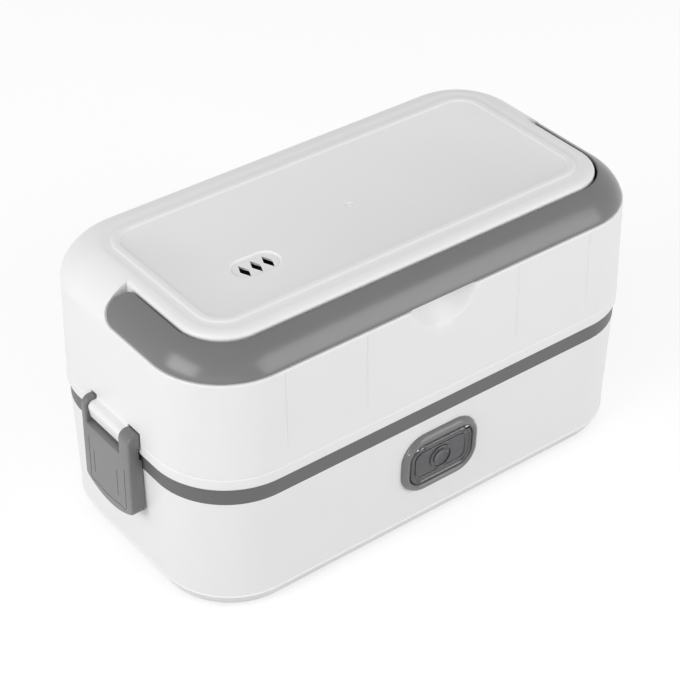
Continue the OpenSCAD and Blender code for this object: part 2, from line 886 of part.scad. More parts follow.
module base_shell() {
    hole_l = port_l + 2 * (spigot_t + plug_fit);
    hole_h = port_h + 2 * (spigot_t + plug_fit);
    color(white)
        difference() {
            union() {
                difference() {
                    base_form(0, base_z0);
                    base_form(base_wall, floor_z);
                }
                both_ends()
                    catch();
                intersection() {
                    base_form(base_wall / 2, base_z0 + floor_t / 2);
                    at_corners(post_x, post_y)
                        cylinder(r = screw_head_r + boss_wall, h = boss_top);
                }
            }
            on_front_wall()
                front_slab(hole_l, hole_h, port_r + spigot_t + plug_fit, -5, 6);
            at_corners(foot_x, foot_y)
                translate([0, 0, base_z0 - 1])
                    cylinder(r = foot_r + plug_fit, h = 1 + foot_sunk);
            at_corners(post_x, post_y) {
                translate([0, 0, base_z0 - 1])
                    cylinder(r = screw_r + plug_fit, h = lid_h);
                translate([0, 0, base_z0 - 1])
                    cylinder(r = screw_head_r + plug_fit, h = 1 + boss_top - base_z0 - screw_seat);
            }
        }
}

module base_liner() {
    rib_end = rib_in + rib_t;
    edge = skirt_t + plug_fit;
    rim = [[-band_r, base_z1], [-rib_end, base_z1], [-rib_end, base_z1 - rib_h],
        [-rib_in, base_z1 - rib_h], [-rib_in, base_z1], [-edge, base_z1], [-edge, deck_z],
        [-band_r, deck_z]];
    color(grey)
        difference() {
            union() {
                swept_solid(band_l, band_w, band_r, rim, base_z1, deck_z);
                leaning_solid(well_l, well_w, well_r, well_z, base_z1 + deck_t / 2,
                    steel_foot_r + well_wall);
                at_corners(post_x, post_y)
                    translate([0, 0, boss_top])
                        cylinder(r = post_r, h = base_z1 - boss_top + deck_t / 2);
            }
            leaning_solid(well_l - 2 * well_wall, well_w - 2 * well_wall, well_r - well_wall,
                well_z + well_wall, deck_z + eps, steel_foot_r);
            slab(plate_l + 2 * plug_fit, plate_w + 2 * plug_fit, plate_r + plug_fit,
                well_z - 1, well_z + well_wall + 1);
            at_corners(post_x, post_y)
                translate([0, 0, boss_top - 1])
                    cylinder(r = screw_r + pin_fit, h = screw_len + 1);
        }
}

// The grey ring between base and lid: its skirt hides the edge of the deck that it sits on
module seam_band() {
    pts = [[-skirt_t, base_z1], [0, base_z1], [0, band_z], [-band_wall, band_z],
        [-band_wall, deck_z], [-skirt_t, deck_z]];
    color(grey)
        sweep(band_l, band_w, band_r, pts);
}

module feet() {
    color([0.25, 0.25, 0.26])
        at_corners(foot_x, foot_y) {
            cylinder(r = foot_r, h = foot_proud + foot_sunk - foot_gap);
        }
}

module base_screws() {
    head_z = boss_top - screw_seat - screw_head_h;
    slot_b = 0.8;
    color(steel)
        at_corners(post_x, post_y)
            difference() {
                union() {
                    translate([0, 0, head_z])
                        cylinder(r = screw_head_r, h = screw_head_h);
                    translate([0, 0, head_z + screw_head_h - eps])
                        cylinder(r = screw_r, h = screw_seat + screw_len - 1);
                }
                for (a = [0, 90])
                    rotate([0, 0, a])
                        translate([-screw_head_r / 2, -slot_b / 2, head_z - 1])
                            cube([screw_head_r, slot_b, 2]);
            }
}

// Heating

module heating_plate() {
    color([0.8, 0.8, 0.8]) {
        difference() {
            slab(plate_l + 2 * plate_flange, plate_w + 2 * plate_flange, plate_r + 4, plate_z, well_z);
            for (s = [-1, 1])
                translate([s * (clamp_leg_x + clamp_foot / 2), 0, plate_z - 1])
                    cylinder(r = clamp_screw_r + pin_fit, h = 1 + plate_t);
        }
        slab(plate_l, plate_w, plate_r, well_z - eps, land_z);
    }
}

module ptc_heater() {
    color([0.72, 0.73, 0.75])
        translate([-heater_l / 2, -heater_w / 2, plate_z - heater_h])
            cube([heater_l, heater_w, heater_h]);
}

module heater_clamp() {
    span = clamp_leg_x + clamp_foot;
    color(steel)
        difference() {
            union() {
                translate([-clamp_leg_x - clamp_t, -clamp_b / 2, clamp_z])
                    cube([2 * (clamp_leg_x + clamp_t), clamp_b, clamp_t]);
                for (s = [0, 1])
                    mirror([s, 0, 0]) {
                        translate([clamp_leg_x, -clamp_b / 2, clamp_z])
                            cube([clamp_t, clamp_b, plate_z - clamp_z]);
                        translate([clamp_leg_x, -clamp_b / 2, plate_z - clamp_t])
                            cube([clamp_foot, clamp_b, clamp_t]);
                    }
            }
            for (s = [-1, 1])
                translate([s * (clamp_leg_x + clamp_foot / 2), 0, clamp_z])
                    cylinder(r = clamp_screw_r + pin_fit, h = span);
        }
}

module clamp_screws() {
    head_r = 1.8 * clamp_screw_r;
    head_h = 1.4;
    reach = clamp_t + 0.8 * plate_t;
    color(steel)
        for (s = [-1, 1])
            translate([s * (clamp_leg_x + clamp_foot / 2), 0, plate_z - clamp_t - head_h]) {
                cylinder(r = head_r, h = head_h);
                cylinder(r = clamp_screw_r, h = head_h + reach);
            }
}

module thermostat() {
    tab_b = 3;
    color([0.2, 0.2, 0.22])
        translate([sensor_x, 0, plate_z - thermostat_h]) {
            cylinder(r = thermostat_r, h = thermostat_h);
            for (s = [-1, 1])
                translate([-tab_t / 2, s * sensor_tab_y - tab_b / 2, -sensor_tab_h])
                    cube([tab_t, tab_b, sensor_tab_h + eps]);
        }
}

module thermal_fuse() {
    color([0.85, 0.82, 0.7])
        translate([-sensor_x, -fuse_l / 2, plate_z - fuse_r])
            rotate([-90, 0, 0])
                cylinder(r = fuse_r, h = fuse_l);
}

module fuse_clip() {
    reach = 8;
    clip_b = 5;
    clip_t = 0.8;
    color(steel)
        difference() {
            union() {
                translate([-sensor_x - reach, -clip_b / 2, plate_z - clip_t])
                    cube([2 * reach, clip_b, clip_t]);
                translate([-sensor_x, -clip_b / 2, plate_z - fuse_r])
                    rotate([-90, 0, 0])
                        cylinder(r = fuse_r + clip_t, h = clip_b);
            }
            translate([-sensor_x, -clip_b, plate_z - fuse_r])
                rotate([-90, 0, 0])
                    cylinder(r = fuse_r + eps, h = 2 * clip_b);
            translate([-sensor_x - fuse_r, -clip_b, plate_z - fuse_r])
                cube([2 * fuse_r, 2 * clip_b, fuse_r + 1]);
            translate([-sensor_x - reach, -clip_b, plate_z])
                cube([2 * reach, 2 * clip_b, 3]);
        }
}

// Inlet

module inlet_bezel() {
    edge = 1.2;
    color(grey)
        on_front_wall()
            difference() {
                union() {
                    front_slab(bezel_l, bezel_h, bezel_r, -bezel_proud + edge, 0);
                    translate([0, -bezel_proud + edge, 0])
                        rotate([90, 0, 0])
                            swept_solid(bezel_l, bezel_h, bezel_r,
                                concat([[-bezel_r, 0], [0, 0]], arc(-edge, 0, edge, 0, 90, 6),
                                    [[-bezel_r, edge]]), 0, edge);
                    front_slab(port_l + 2 * spigot_t, port_h + 2 * spigot_t, port_r + spigot_t,
                        -eps, base_wall);
                }
                front_slab(port_l, port_h, port_r, -bezel_proud - 1, base_wall + 1);
                translate([-flap_pin_l / 2, flap_y, flap_axis_z])
                    rotate([0, 90, 0])
                        cylinder(r = flap_pin_r + pin_fit, h = flap_pin_l);
            }
}

module inlet_flap() {
    button_z = -1.6;
    button_wall = 1.2;
    color([0.55, 0.55, 0.56, 0.8])
        on_front_wall()
            difference() {
                union() {
                    intersection() {
                        front_slab(flap_l, flap_h, port_r - flap_gap, flap_y - flap_t / 2,
                            flap_y + flap_t / 2);
                        union() {
                            translate([-flap_l, flap_y - flap_t, -flap_h])
                                cube([2 * flap_l, 2 * flap_t, flap_h + flap_axis_z]);
                            translate([-flap_l, flap_y, flap_axis_z])
                                rotate([0, 90, 0])
                                    cylinder(r = barrel_r, h = 2 * flap_l);
                        }
                    }
                    translate([-barrel_l / 2, flap_y, flap_axis_z])
                        rotate([0, 90, 0])
                            cylinder(r = barrel_r, h = barrel_l);
                    translate([0, flap_y - flap_t / 2 + eps, button_z])
                        rotate([90, 0, 0])
                            difference() {
                                cylinder(r = button_r, h = button_h);
                                translate([0, 0, -1])
                                    cylinder(r = button_r - button_wall, h = button_h + 2);
                            }
                }
                translate([-flap_l, flap_y, flap_axis_z])
                    rotate([0, 90, 0])
                        cylinder(r = flap_pin_r + pin_fit, h = 2 * flap_l);
                // The corners beside the hinge are cut back, so that the flap can swing out
                for (s = [0, 1])
                    mirror([s, 0, 0])
                        translate([flap_top_l / 2, flap_y - flap_t, flap_axis_z - barrel_r])
                            cube([flap_l, 2 * flap_t, 2 * flap_h]);
            }
}

module flap_pin() {
    color(steel)
        on_front_wall()
            translate([-(flap_pin_l / 2 - pin_end_gap), flap_y, flap_axis_z])
                rotate([0, 90, 0])
                    cylinder(r = flap_pin_r, h = flap_pin_l - 2 * pin_end_gap);
}

module inlet_socket() {
    flange_t = 1.8;
    flange_out = 2.5;
    cup_r = 4;
    color([0.16, 0.16, 0.17])
        on_front_wall()
            difference() {
                union() {
                    front_slab(port_l + 2 * flange_out, port_h + 2 * flange_out, port_r + flange_out,
                        base_wall, base_wall + flange_t);
                    front_slab(socket_l, socket_h, cup_r, base_wall, socket_back);
                }
                front_slab(socket_l - 2 * socket_wall, socket_h - 2 * socket_wall, cup_r - socket_wall,
                    0, socket_back - socket_wall);
                for (s = [-1, 1])
                    translate([s * contact_pitch / 2, socket_back + 1, 0])
                        rotate([90, 0, 0])
                            cylinder(r = contact_r + pin_fit, h = socket_deep);
            }
}

module inlet_pins() {
    front = 1.5;
    color([0.85, 0.75, 0.45])
        on_front_wall()
            for (s = [-1, 1])
                translate([s * contact_pitch / 2, 0, 0]) {
                    translate([0, socket_back + tail_len, 0])
                        rotate([90, 0, 0])
                            cylinder(r = contact_r, h = socket_back + tail_len - front);
                    translate([-contact_r, socket_back + (tail_len - tab_t) / 2, -contact_r - tab_h])
                        cube([2 * contact_r, tab_t, contact_r + tab_h]);
                }
}

// Wires

function cross3(a, b) = [a[1] * b[2] - a[2] * b[1], a[2] * b[0] - a[0] * b[2],
    a[0] * b[1] - a[1] * b[0]];

// A point on the smooth curve through the middle two of four points
function smooth(p0, p1, p2, p3, t) =
    (2 * p1 + (p2 - p0) * t + (2 * p0 - 5 * p1 + 4 * p2 - p3) * t * t
        + (3 * p1 - p0 - 3 * p2 + p3) * t * t * t) / 2;

function route(pts, n) =
    let (m = len(pts))
    [for (i = [0:m - 2], k = [0:n - 1])
        smooth(pts[max(i - 1, 0)], pts[i], pts[i + 1], pts[min(i + 2, m - 1)], k / n),
        pts[m - 1]];

function unit(v) = v / norm(v);

module tube(line, r, first_dir, last_dir) {
    sides = 8;
    m = len(line);
    dir = [for (i = [0:m - 1])
        i == 0 ? first_dir : i == m - 1 ? last_dir : unit(line[i + 1] - line[i - 1])];
    side_of = [for (i = [0:m - 1])
        unit(cross3(dir[i], abs(dir[i][1]) < 0.9 ? [0, 1, 0] : [1, 0, 0]))];
    sides_dir = [for (i = [0:m - 1]) unit(cross3(side_of[i], dir[i]))];
    rings = [for (i = [0:m - 1], k = [0:sides - 1])
        let (a = 360 * k / sides)
        line[i] + r * (cos(a) * side_of[i] + sin(a) * sides_dir[i])];
    walls = [for (i = [0:m - 2], k = [0:sides - 1])
        let (a = i * sides + k, b = i * sides + (k + 1) % sides)
        each [[a, b, b + sides], [a, b + sides, a + sides]]];
    foot = [for (k = [1:sides - 2]) [0, k + 1, k]];
    head = [for (k = [1:sides - 2]) [(m - 1) * sides, (m - 1) * sides + k, (m - 1) * sides + k + 1]];
    polyhedron(rings, concat(walls, foot, head));
}

module heater_wires() {
    steps = 4;
    fuse_z = plate_z - fuse_r;
    tab_end = plate_z - thermostat_h - sensor_tab_h;
    solder = 0.15;
    pin_end_z = wire_z + solder;
    tab_y = sensor_tab_y;
    color([0.75, 0.2, 0.15]) {
        // Left contact to the front of the fuse
        tube(route([[-wire_x, wire_y, pin_end_z], [-wire_x, wire_y, 20], [-16, -38, 9],
            [-44, -24, 8], [-sensor_x, -15, fuse_z - 3], [-sensor_x, -fuse_l / 2 - 3, fuse_z],
            [-sensor_x, -fuse_l / 2, fuse_z]], steps), wire_r, [0, 0, -1], [0, 1, 0]);
        // Back of the fuse to the heater's left end
        tube(route([[-sensor_x, fuse_l / 2, fuse_z], [-sensor_x, fuse_l / 2 + 3, fuse_z],
            [-56, 14, fuse_z - 3], [-heater_l / 2 - 12, 9, fuse_z - 3],
            [-heater_l / 2 - 4, 7, plate_z - heater_h / 2], [-heater_l / 2, 7, plate_z - heater_h / 2]],
            steps), wire_r, [0, 1, 0], [1, 0, 0]);
        // Heater's right end to the back tab of the thermostat
        tube(route([[heater_l / 2, 7, plate_z - heater_h / 2], [heater_l / 2 + 4, 7, plate_z - heater_h / 2],
            [50, 10, 8], [sensor_x, tab_y + 1, wire_low], [sensor_x, tab_y, tab_end - 2],
            [sensor_x, tab_y, tab_end]], steps), wire_r, [1, 0, 0], [0, 0, 1]);
        // Front tab of the thermostat to the right contact
        tube(route([[sensor_x, -tab_y, tab_end], [sensor_x, -tab_y, tab_end - 2],
            [50, -20, wire_low], [20, -36, 8], [wire_x, wire_y, 20], [wire_x, wire_y, pin_end_z]],
            steps), wire_r, [0, 0, -1], [0, 0, 1]);
    }
}

// Trays

module steel_container() {
    t = steel_t;
    rim = [[0, 0], [0, steel_rim_h], [-steel_rim - t / 2, steel_rim_h],
        [-steel_rim - t / 2, steel_rim_h - t], [-t, steel_rim_h - t], [-t, 0]];
    pts = [for (p = rim) [p[0], p[1] + deck_z]];
    color(steel) {
        sweep(steel_l + 2 * steel_rim, steel_w + 2 * steel_rim, steel_r + steel_rim, pts);
        difference() {
            leaning_solid(steel_l, steel_w, steel_r, steel_z0, steel_top, steel_foot_r);
            leaning_solid(steel_l - 2 * t, steel_w - 2 * t, steel_r - t, steel_z0 + t,
                steel_top + eps, steel_foot_r - t);
        }
    }
}

module upper_tray() {
    foot_in = steel_t + move_gap;
    foot_l = steel_l - 2 * (foot_in + lean * tray_foot_h);
    foot_w = steel_w - 2 * (foot_in + lean * tray_foot_h);
    foot_r = steel_r - foot_in;
    t = tray_wall;
    color([0.9, 0.9, 0.9])
        difference() {
            union() {
                leaning_solid(tray_l, tray_w, tray_r, steel_top, tray_z1, 1);
                slab(foot_l, foot_w, foot_r, steel_top - tray_foot_h, steel_top + eps);
            }
            leaning_solid(tray_l - 2 * t, tray_w - 2 * t, tray_r - t, steel_top + t, tray_z1 + eps, 4);
            slab(foot_l - 2 * t, foot_w - 2 * t, foot_r - t, steel_top - tray_foot_h + t,
                steel_top + 2 * t);
        }
}

module tray_gasket() {
    pts = [[0, tray_z1], [0, cover_z], [-tray_wall, cover_z], [-tray_wall, tray_z1]];
    color([0.7, 0.75, 0.8])
        sweep(tray_l, tray_w, tray_r, pts);
}

module tray_cover() {
    low = cover_z - cover_skirt;
    rib = cover_t + cover_gap + tray_wall + cover_gap;
    rib_z = tray_z1 - 1;
    pts = [[-cover_r, cover_z], [-rib - cover_t, cover_z], [-rib - cover_t, rib_z], [-rib, rib_z],
        [-rib, cover_z], [-cover_t, cover_z], [-cover_t, low], [0, low], [0, cover_z + cover_t],
        [-cover_r, cover_z + cover_t]];
    color([0.8, 0.85, 0.9, 0.6])
        swept_solid(cover_l, cover_w, cover_r, pts, cover_z, cover_z + cover_t);
}

base_shell();
base_liner();
seam_band();
feet();
base_screws();
heating_plate();
ptc_heater();
heater_clamp();
clamp_screws();
thermostat();
thermal_fuse();
fuse_clip();
inlet_socket();
inlet_pins();
inlet_bezel();
inlet_flap();
flap_pin();
heater_wires();
steel_container();
upper_tray();
tray_cover();
tray_gasket();
lid_shell();
lid_seal();
vent_baffle();
handle();
left_latch();
right_latch();
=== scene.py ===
# %% [markdown]
# # An electric lunch box
#
# The exact solids of this lunch box come from a CAD pack. This notebook gives every one
# of them the finish of its real material, except the vent baffle, whose dark finish is
# painted shade. It also remodels the pieces whose soft edges catch the light, because a
# CAD solid has sharp edges and a moulded part never has.
# All sizes below are written in millimetres, and the last step turns them to metres.

# %% Load the frame
import math
import bmesh
import bpy
from mathutils import Matrix, Vector


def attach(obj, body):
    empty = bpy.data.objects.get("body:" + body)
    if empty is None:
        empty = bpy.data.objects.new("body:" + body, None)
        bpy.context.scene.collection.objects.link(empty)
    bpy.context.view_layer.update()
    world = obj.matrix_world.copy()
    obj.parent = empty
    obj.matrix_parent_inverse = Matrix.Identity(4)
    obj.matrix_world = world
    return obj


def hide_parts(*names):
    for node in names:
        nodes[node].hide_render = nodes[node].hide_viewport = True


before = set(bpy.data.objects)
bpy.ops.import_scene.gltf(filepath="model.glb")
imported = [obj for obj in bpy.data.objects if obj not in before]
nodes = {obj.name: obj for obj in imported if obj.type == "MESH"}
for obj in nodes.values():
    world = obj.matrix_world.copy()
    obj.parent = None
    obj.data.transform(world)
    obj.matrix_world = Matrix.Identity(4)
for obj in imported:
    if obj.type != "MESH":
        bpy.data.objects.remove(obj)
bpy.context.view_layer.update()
print("CAD nodes:", len(nodes))

# %% [markdown]
# ## The camera
#
# The photograph was taken from the front left, well above the box, with a long lens.
# Solving the box's straight lines gave the angles and the distance. A camera can be
# turned with a constraint, but here three unit vectors give its place and its roll
# exactly, so nothing has to be tracked.

# %% Camera
AZIMUTH, ELEVATION, ROLL = -37.67, 36.64, 0.18
LENS, SENSOR = 104.8, 36.0
DISTANCE = 833.0
TARGET = Vector((-3.53, 1.51, 58.01))
MM = 0.001


def camera_axes(azimuth, elevation, roll):
    """The camera's right, up and back directions."""
    a, e, r = (math.radians(v) for v in (azimuth, elevation, roll))
    back = Vector((math.sin(a) * math.cos(e), -math.cos(a) * math.cos(e), math.sin(e)))
    right = Vector((math.cos(a), math.sin(a), 0))
    up = back.cross(right)
    return math.cos(r) * right + math.sin(r) * up, math.cos(r) * up - math.sin(r) * right, back


right, up, back = camera_axes(AZIMUTH, ELEVATION, ROLL)
camera = bpy.data.objects.new("camera", bpy.data.cameras.new("camera"))
camera.data.lens = LENS
camera.data.sensor_width = SENSOR
camera.data.clip_start = 10 * MM
place = (TARGET + DISTANCE * back) * MM
camera.matrix_world = Matrix([[right[i], up[i], back[i], place[i]] for i in range(3)]
                             + [[0, 0, 0, 1]])
bpy.context.scene.collection.objects.link(camera)
bpy.context.scene.camera = camera
bpy.context.scene.view_settings.view_transform = "Standard"
print("camera at", [round(v, 3) for v in place])

# %% [markdown]
# ## Colours and material nodes
#
# A colour picked from a picture is an sRGB value, and the shader wants linear light, so
# one function turns the hex values round. A second small function adds a node with its
# settings and its links. Every material below is made with these two. What all of them
# share is that a pattern shifts the colour a little and raises a fine relief, and
# where the real surface is uneven in gloss, it moves the roughness too.

# %% Colour and node helpers


def linear(hex_colour):
    """A hex colour as linear light, with full opacity."""
    parts = [int(hex_colour[i:i + 2], 16) / 255 for i in (1, 3, 5)]
    return tuple(v / 12.92 if v <= 0.04045 else ((v + 0.055) / 1.055) ** 2.4
                 for v in parts) + (1.0,)


def add(tree, kind, settings=None, **inputs):
    """Adds a node. settings are its own properties. An input is a value or a link, and is
    named as its socket is, or _3 for the socket with the number 3."""
    made = tree.nodes.new(kind)
    for name, value in (settings or {}).items():
        setattr(made, name, value)
    for name, value in inputs.items():
        key = int(name[1:]) if name[0] == "_" else name.replace("_", " ")
        if isinstance(value, bpy.types.NodeSocket):
            tree.links.new(value, made.inputs[key])
        else:
            made.inputs[key].default_value = value
    return made


def new_material(name, **sockets):
    """A material with one Principled shader, whose sockets are set by name."""
    material = bpy.data.materials.new(name)
    material.use_nodes = True
    tree = material.node_tree
    shader = tree.nodes["Principled BSDF"]
    for key, value in sockets.items():
        shader.inputs[key.replace("_", " ")].default_value = value
    return material, tree, shader


def object_place(tree, stretch=1):
    """Where a point is on the object, in metres, drawn out along X by stretch."""
    where = add(tree, "ShaderNodeTexCoord").outputs["Object"]
    return add(tree, "ShaderNodeMapping", Vector=where, Scale=(1 / stretch, 1, 1)).outputs["Vector"]


print("helpers: linear, add, new_material, object_place")

# %% From pattern to surface


def patterned(made, colours, tint, relief, strength, distance, spread=0.0):
    """tint mixes two colours, and relief drives the bump and the spread of roughness."""
    material, tree, shader = made
    shade = add(tree, "ShaderNodeMix", {"data_type": "RGBA"}, _0=tint, _6=linear(colours[0]),
                _7=linear(colours[1]))
    bump = add(tree, "ShaderNodeBump", Height=relief, Strength=strength, Distance=distance * MM)
    tree.links.new(shade.outputs[2], shader.inputs["Base Color"])
    tree.links.new(bump.outputs["Normal"], shader.inputs["Normal"])
    if spread:
        middle = shader.inputs["Roughness"].default_value
        gloss = add(tree, "ShaderNodeMapRange", Value=relief, _3=middle - spread, _4=middle + spread)
        tree.links.new(gloss.outputs["Result"], shader.inputs["Roughness"])
    return material


def marked(name, colours, pitch, detail, strength, distance, spread=0.0, stretch=1, **sockets):
    """A material whose one pattern is noise, with marks pitch millimetres apart."""
    made = new_material(name, **sockets)
    marks = add(made[1], "ShaderNodeTexNoise", Vector=object_place(made[1], stretch),
                Scale=1 / (pitch * MM), Detail=detail).outputs["Fac"]
    return patterned(made, colours, marks, marks, strength, distance, spread)


print("helpers: patterned, marked")

# %% [markdown]
# ## Moulded polypropylene and ABS
#
# The body is white polypropylene, moulded in a tool that was blasted to a fine satin.
# The trim is grey ABS with the same kind of skin. Both are plain plastics with an IOR of
# about 1.5. What the eye gets is a soft sheen with a very fine grain, and over a hand's
# width the faint unevenness that shrinkage leaves. The blasted grain is about 0.1 mm
# on the real tool. It is drawn at 0.35 mm here, so that it still shows in a picture.

# %% Moulded plastics
GRAIN, GRAIN_HEIGHT, GRAIN_SPREAD = 0.35, 0.02, 0.04
SHRINK = 28.0


def moulded(name, colours, roughness, grain_depth, **sockets):
    """A moulded plastic: a slow drift of colour and a fine even grain."""
    made = new_material(name, Roughness=roughness, **sockets)
    tree, where = made[1], object_place(made[1])
    drift = add(tree, "ShaderNodeTexNoise", Vector=where, Scale=1 / (SHRINK * MM), Detail=2.0)
    grain = add(tree, "ShaderNodeTexNoise", Vector=where, Scale=1 / (GRAIN * MM), Detail=3.0)
    return patterned(made, colours, drift.outputs["Fac"], grain.outputs["Fac"], grain_depth,
                     GRAIN_HEIGHT, GRAIN_SPREAD)


white_pp = moulded("satin_white_polypropylene", ("#F0F0F0", "#EDEDEE"), 0.38, 0.35, IOR=1.49)
grey_abs = moulded("satin_grey_abs", ("#787879", "#737374"), 0.23, 0.35, IOR=1.53)
liner_abs = moulded("matt_dark_grey_abs", ("#666667", "#616162"), 0.46, 0.6, IOR=1.53)
natural_pp = moulded("natural_polypropylene", ("#E6E6E2", "#DFDFDB"), 0.42, 0.3, IOR=1.49,
                     Transmission_Weight=0.15)
black_pbt = moulded("black_heatproof_moulding", ("#1B1B1D", "#222224"), 0.5, 0.6, IOR=1.57)
print("moulded plastics:", [m.name for m in (white_pp, grey_abs, liner_abs, natural_pp, black_pbt)])

# %% [markdown]
# ## See-through mouldings
#
# The flap over the power inlet is smoky polycarbonate, and the tray's cover is clear
# polypropylene. Both let light through and scatter some of it. Transmission with a little
# roughness gives that, and keeps what lies behind them readable as a soft shape.

# %% See-through plastics
FLOW_MARKS = {"pitch": 6.0, "detail": 2.0, "strength": 0.15, "distance": 0.05}
smoky_pc = marked("smoky_polycarbonate", ("#727275", "#66666A"), **FLOW_MARKS,
                  Roughness=0.14, IOR=1.58, Transmission_Weight=0.6)
clear_pp = marked("clear_polypropylene", ("#F4F7F8", "#EDF1F3"), **FLOW_MARKS,
                  Roughness=0.12, IOR=1.49, Transmission_Weight=0.85)
print("see-through plastics:", smoky_pc.name, clear_pp.name)

# %% [markdown]
# ## Rubber and silicone
#
# The feet are dark moulded rubber, and the seals are pale silicone. Rubber drinks light
# and has a broad dull highlight. Silicone lets some light in under its skin, so a little
# subsurface scattering at 1 mm softens it. The baffle under the vents is silicone too,
# but it gets the dark finish of the feet as painted shade, so that its slots look black.

# %% Rubber and silicone
RUBBER_SKIN = {"pitch": 0.8, "detail": 4.0, "strength": 0.4, "distance": 0.05}
# Dark rubber for the feet; on the vent baffle the same dark colour is painted shade.
rubber_and_vent_shade = marked("dark_rubber_and_vent_shade", ("#2B2B2C", "#232324"), **RUBBER_SKIN, Roughness=0.75,
                     IOR=1.52)
pale_silicone = marked("pale_silicone", ("#D9DADA", "#CFD1D2"), **RUBBER_SKIN, Roughness=0.5,
                       IOR=1.41, Subsurface_Weight=0.2, Subsurface_Radius=(MM, MM, MM))
wire_silicone = marked("red_silicone_sleeve", ("#9B2A22", "#8C241D"), **RUBBER_SKIN,
                       Roughness=0.55, IOR=1.41)
print("rubbers:", rubber_and_vent_shade.name, pale_silicone.name, wire_silicone.name)

# %% [markdown]
# ## Metals
#
# Four metals sit inside. The tray is stainless steel, brushed along its length, so its
# noise is drawn out 40 times in that direction. The screws and clips are zinc plated,
# the plate is cast aluminium with a pebbly skin, and the contacts are nickel-flashed
# brass. A metal's colour is its reflection, and its IOR stays at the default.

# %% Metals


def metal(name, colours, roughness, pitch, stretch, strength, spread):
    """A bare metal, whose marks are pitch millimetres apart."""
    return marked(name, colours, pitch, 3.0, strength, 0.03, spread, stretch, Metallic=1.0,
                  Roughness=roughness)


brushed_stainless = metal("brushed_stainless_steel", ("#C9C9CB", "#BDBDC0"), 0.28, 0.4, 40, 0.4, 0.06)
zinc_plate = metal("zinc_plated_steel", ("#B9BBBF", "#A9ACB2"), 0.33, 1.5, 1, 0.3, 0.07)
cast_aluminium = metal("cast_aluminium", ("#C4C4C4", "#B6B6B7"), 0.5, 0.7, 1, 0.8, 0.08)
extruded_aluminium = metal("extruded_aluminium", ("#BEBFC1", "#B3B4B7"), 0.38, 0.5, 60, 0.3, 0.05)
nickelled_brass = metal("nickel_flashed_brass", ("#D2C08A", "#C5B27C"), 0.24, 2.0, 1, 0.2, 0.04)
print("metals: stainless steel, zinc plate, cast and extruded aluminium, nickelled brass")

# %% [markdown]
# ## Unglazed ceramic
#
# The thermal fuse has a pressed ceramic body. It is chalky and cream, with pores about
# 0.3 mm apart, and has no shine.

# %% Ceramic
PORE = 0.3
ceramic = new_material("unglazed_ceramic", Roughness=0.85, IOR=1.6)
pores = add(ceramic[1], "ShaderNodeTexVoronoi", Vector=object_place(ceramic[1]),
            Scale=1 / (PORE * MM)).outputs["Distance"]
fuse_ceramic = patterned(ceramic, ("#D8D0B4", "#E6DFC6"), pores, pores, 0.5, 0.05)
print("ceramic:", fuse_ceramic.name)

# %% [markdown]
# ## Dressing the CAD nodes
#
# The solids whose shape is already right only need a finish. Their faces are smoothed,
# and every edge where two faces meet at more than 30 degrees stays crisp.

# %% Finishes by node
FINISHES = {
    white_pp: ["base_shell", "lid_shell"],
    grey_abs: ["inlet_bezel", "handle", "left_latch", "right_latch"],
    liner_abs: ["base_liner", "seam_band"],
    smoky_pc: ["inlet_flap"],
    black_pbt: ["inlet_socket", "thermostat"],
    natural_pp: ["upper_tray"],
    clear_pp: ["tray_cover"],
    pale_silicone: ["tray_gasket", "lid_seal"],
    # The vent baffle gets the dark rubber as painted shade, so that the vent slots look black.
    rubber_and_vent_shade: ["feet", "vent_baffle"],
    brushed_stainless: ["steel_container"],
    zinc_plate: ["base_screws", "heater_clamp", "clamp_screws", "fuse_clip", "flap_pin"],
    cast_aluminium: ["heating_plate"],
    extruded_aluminium: ["ptc_heater"],
    nickelled_brass: ["inlet_pins"],
    fuse_ceramic: ["thermal_fuse"],
    wire_silicone: ["heater_wires"],
}
SHARP = math.radians(30)


def smooth_by_angle(mesh):
    """Smooths all faces and keeps the edges sharp where the surface really turns."""
    made = bmesh.new()
    made.from_mesh(mesh)
    for face in made.faces:
        face.smooth = True
    for edge in made.edges:
        edge.smooth = len(edge.link_faces) == 2 and edge.calc_face_angle(0) < SHARP
    made.to_mesh(mesh)
    made.free()


for finish, names in FINISHES.items():
    for name in names:
        mesh = nodes[name].data
        mesh.materials.clear()
        mesh.materials.append(finish)
        for polygon in mesh.polygons:
            polygon.material_index = 0
print("dressed", sum(len(v) for v in FINISHES.values()), "nodes")

# %% [markdown]
# ## Building meshes from rows
#
# Every remodelled piece is made in one way: rows of points are laid side by side and
# joined with four-sided faces. Where a row can't go on, such as round a window, a face
# is filled between loops. This keeps rounded edges exact and gives clean shading.

# %% Mesh helpers


def add_row(bm, points):
    """Vertices at points that are given in millimetres."""
    return [bm.verts.new(Vector(p) * MM) for p in points]


def join_rows(bm, a, b):
    """Four-sided faces between two closed rows with the same number of points."""
    for i in range(len(a)):
        j = (i + 1) % len(a)
        corners = [a[i], a[j], b[j], b[i]]
        if len({tuple(round(c, 7) for c in v.co) for v in corners}) > 2:
            bm.faces.new(corners)


def join_all(bm, rows, capped=False):
    """Joins each row to the next one, and closes both ends if they are capped."""
    for a, b in zip(rows, rows[1:]):
        join_rows(bm, a, b)
    if capped:
        bm.faces.new(rows[0])
        bm.faces.new(rows[-1])


def fill_loops(bm, *loops):
    """Fills the flat area between closed loops of vertices."""
    edges = set()
    for loop in loops:
        for i, v in enumerate(loop):
            w = loop[(i + 1) % len(loop)]
            edges.add(bm.edges.get((v, w)) or bm.edges.new((v, w)))
    bmesh.ops.triangle_fill(bm, use_beauty=True, edges=list(edges))


print("mesh helpers: add_row, join_rows, join_all, fill_loops")

# %% Curves and the finished piece


def arc(cx, cy, r, a0, a1, n):
    """Points on an arc from angle a0 to a1 in n steps."""
    turns = [math.radians(a0 + (a1 - a0) * i / n) for i in range(n + 1)]
    return [(cx + r * math.cos(a), cy + r * math.sin(a)) for a in turns]


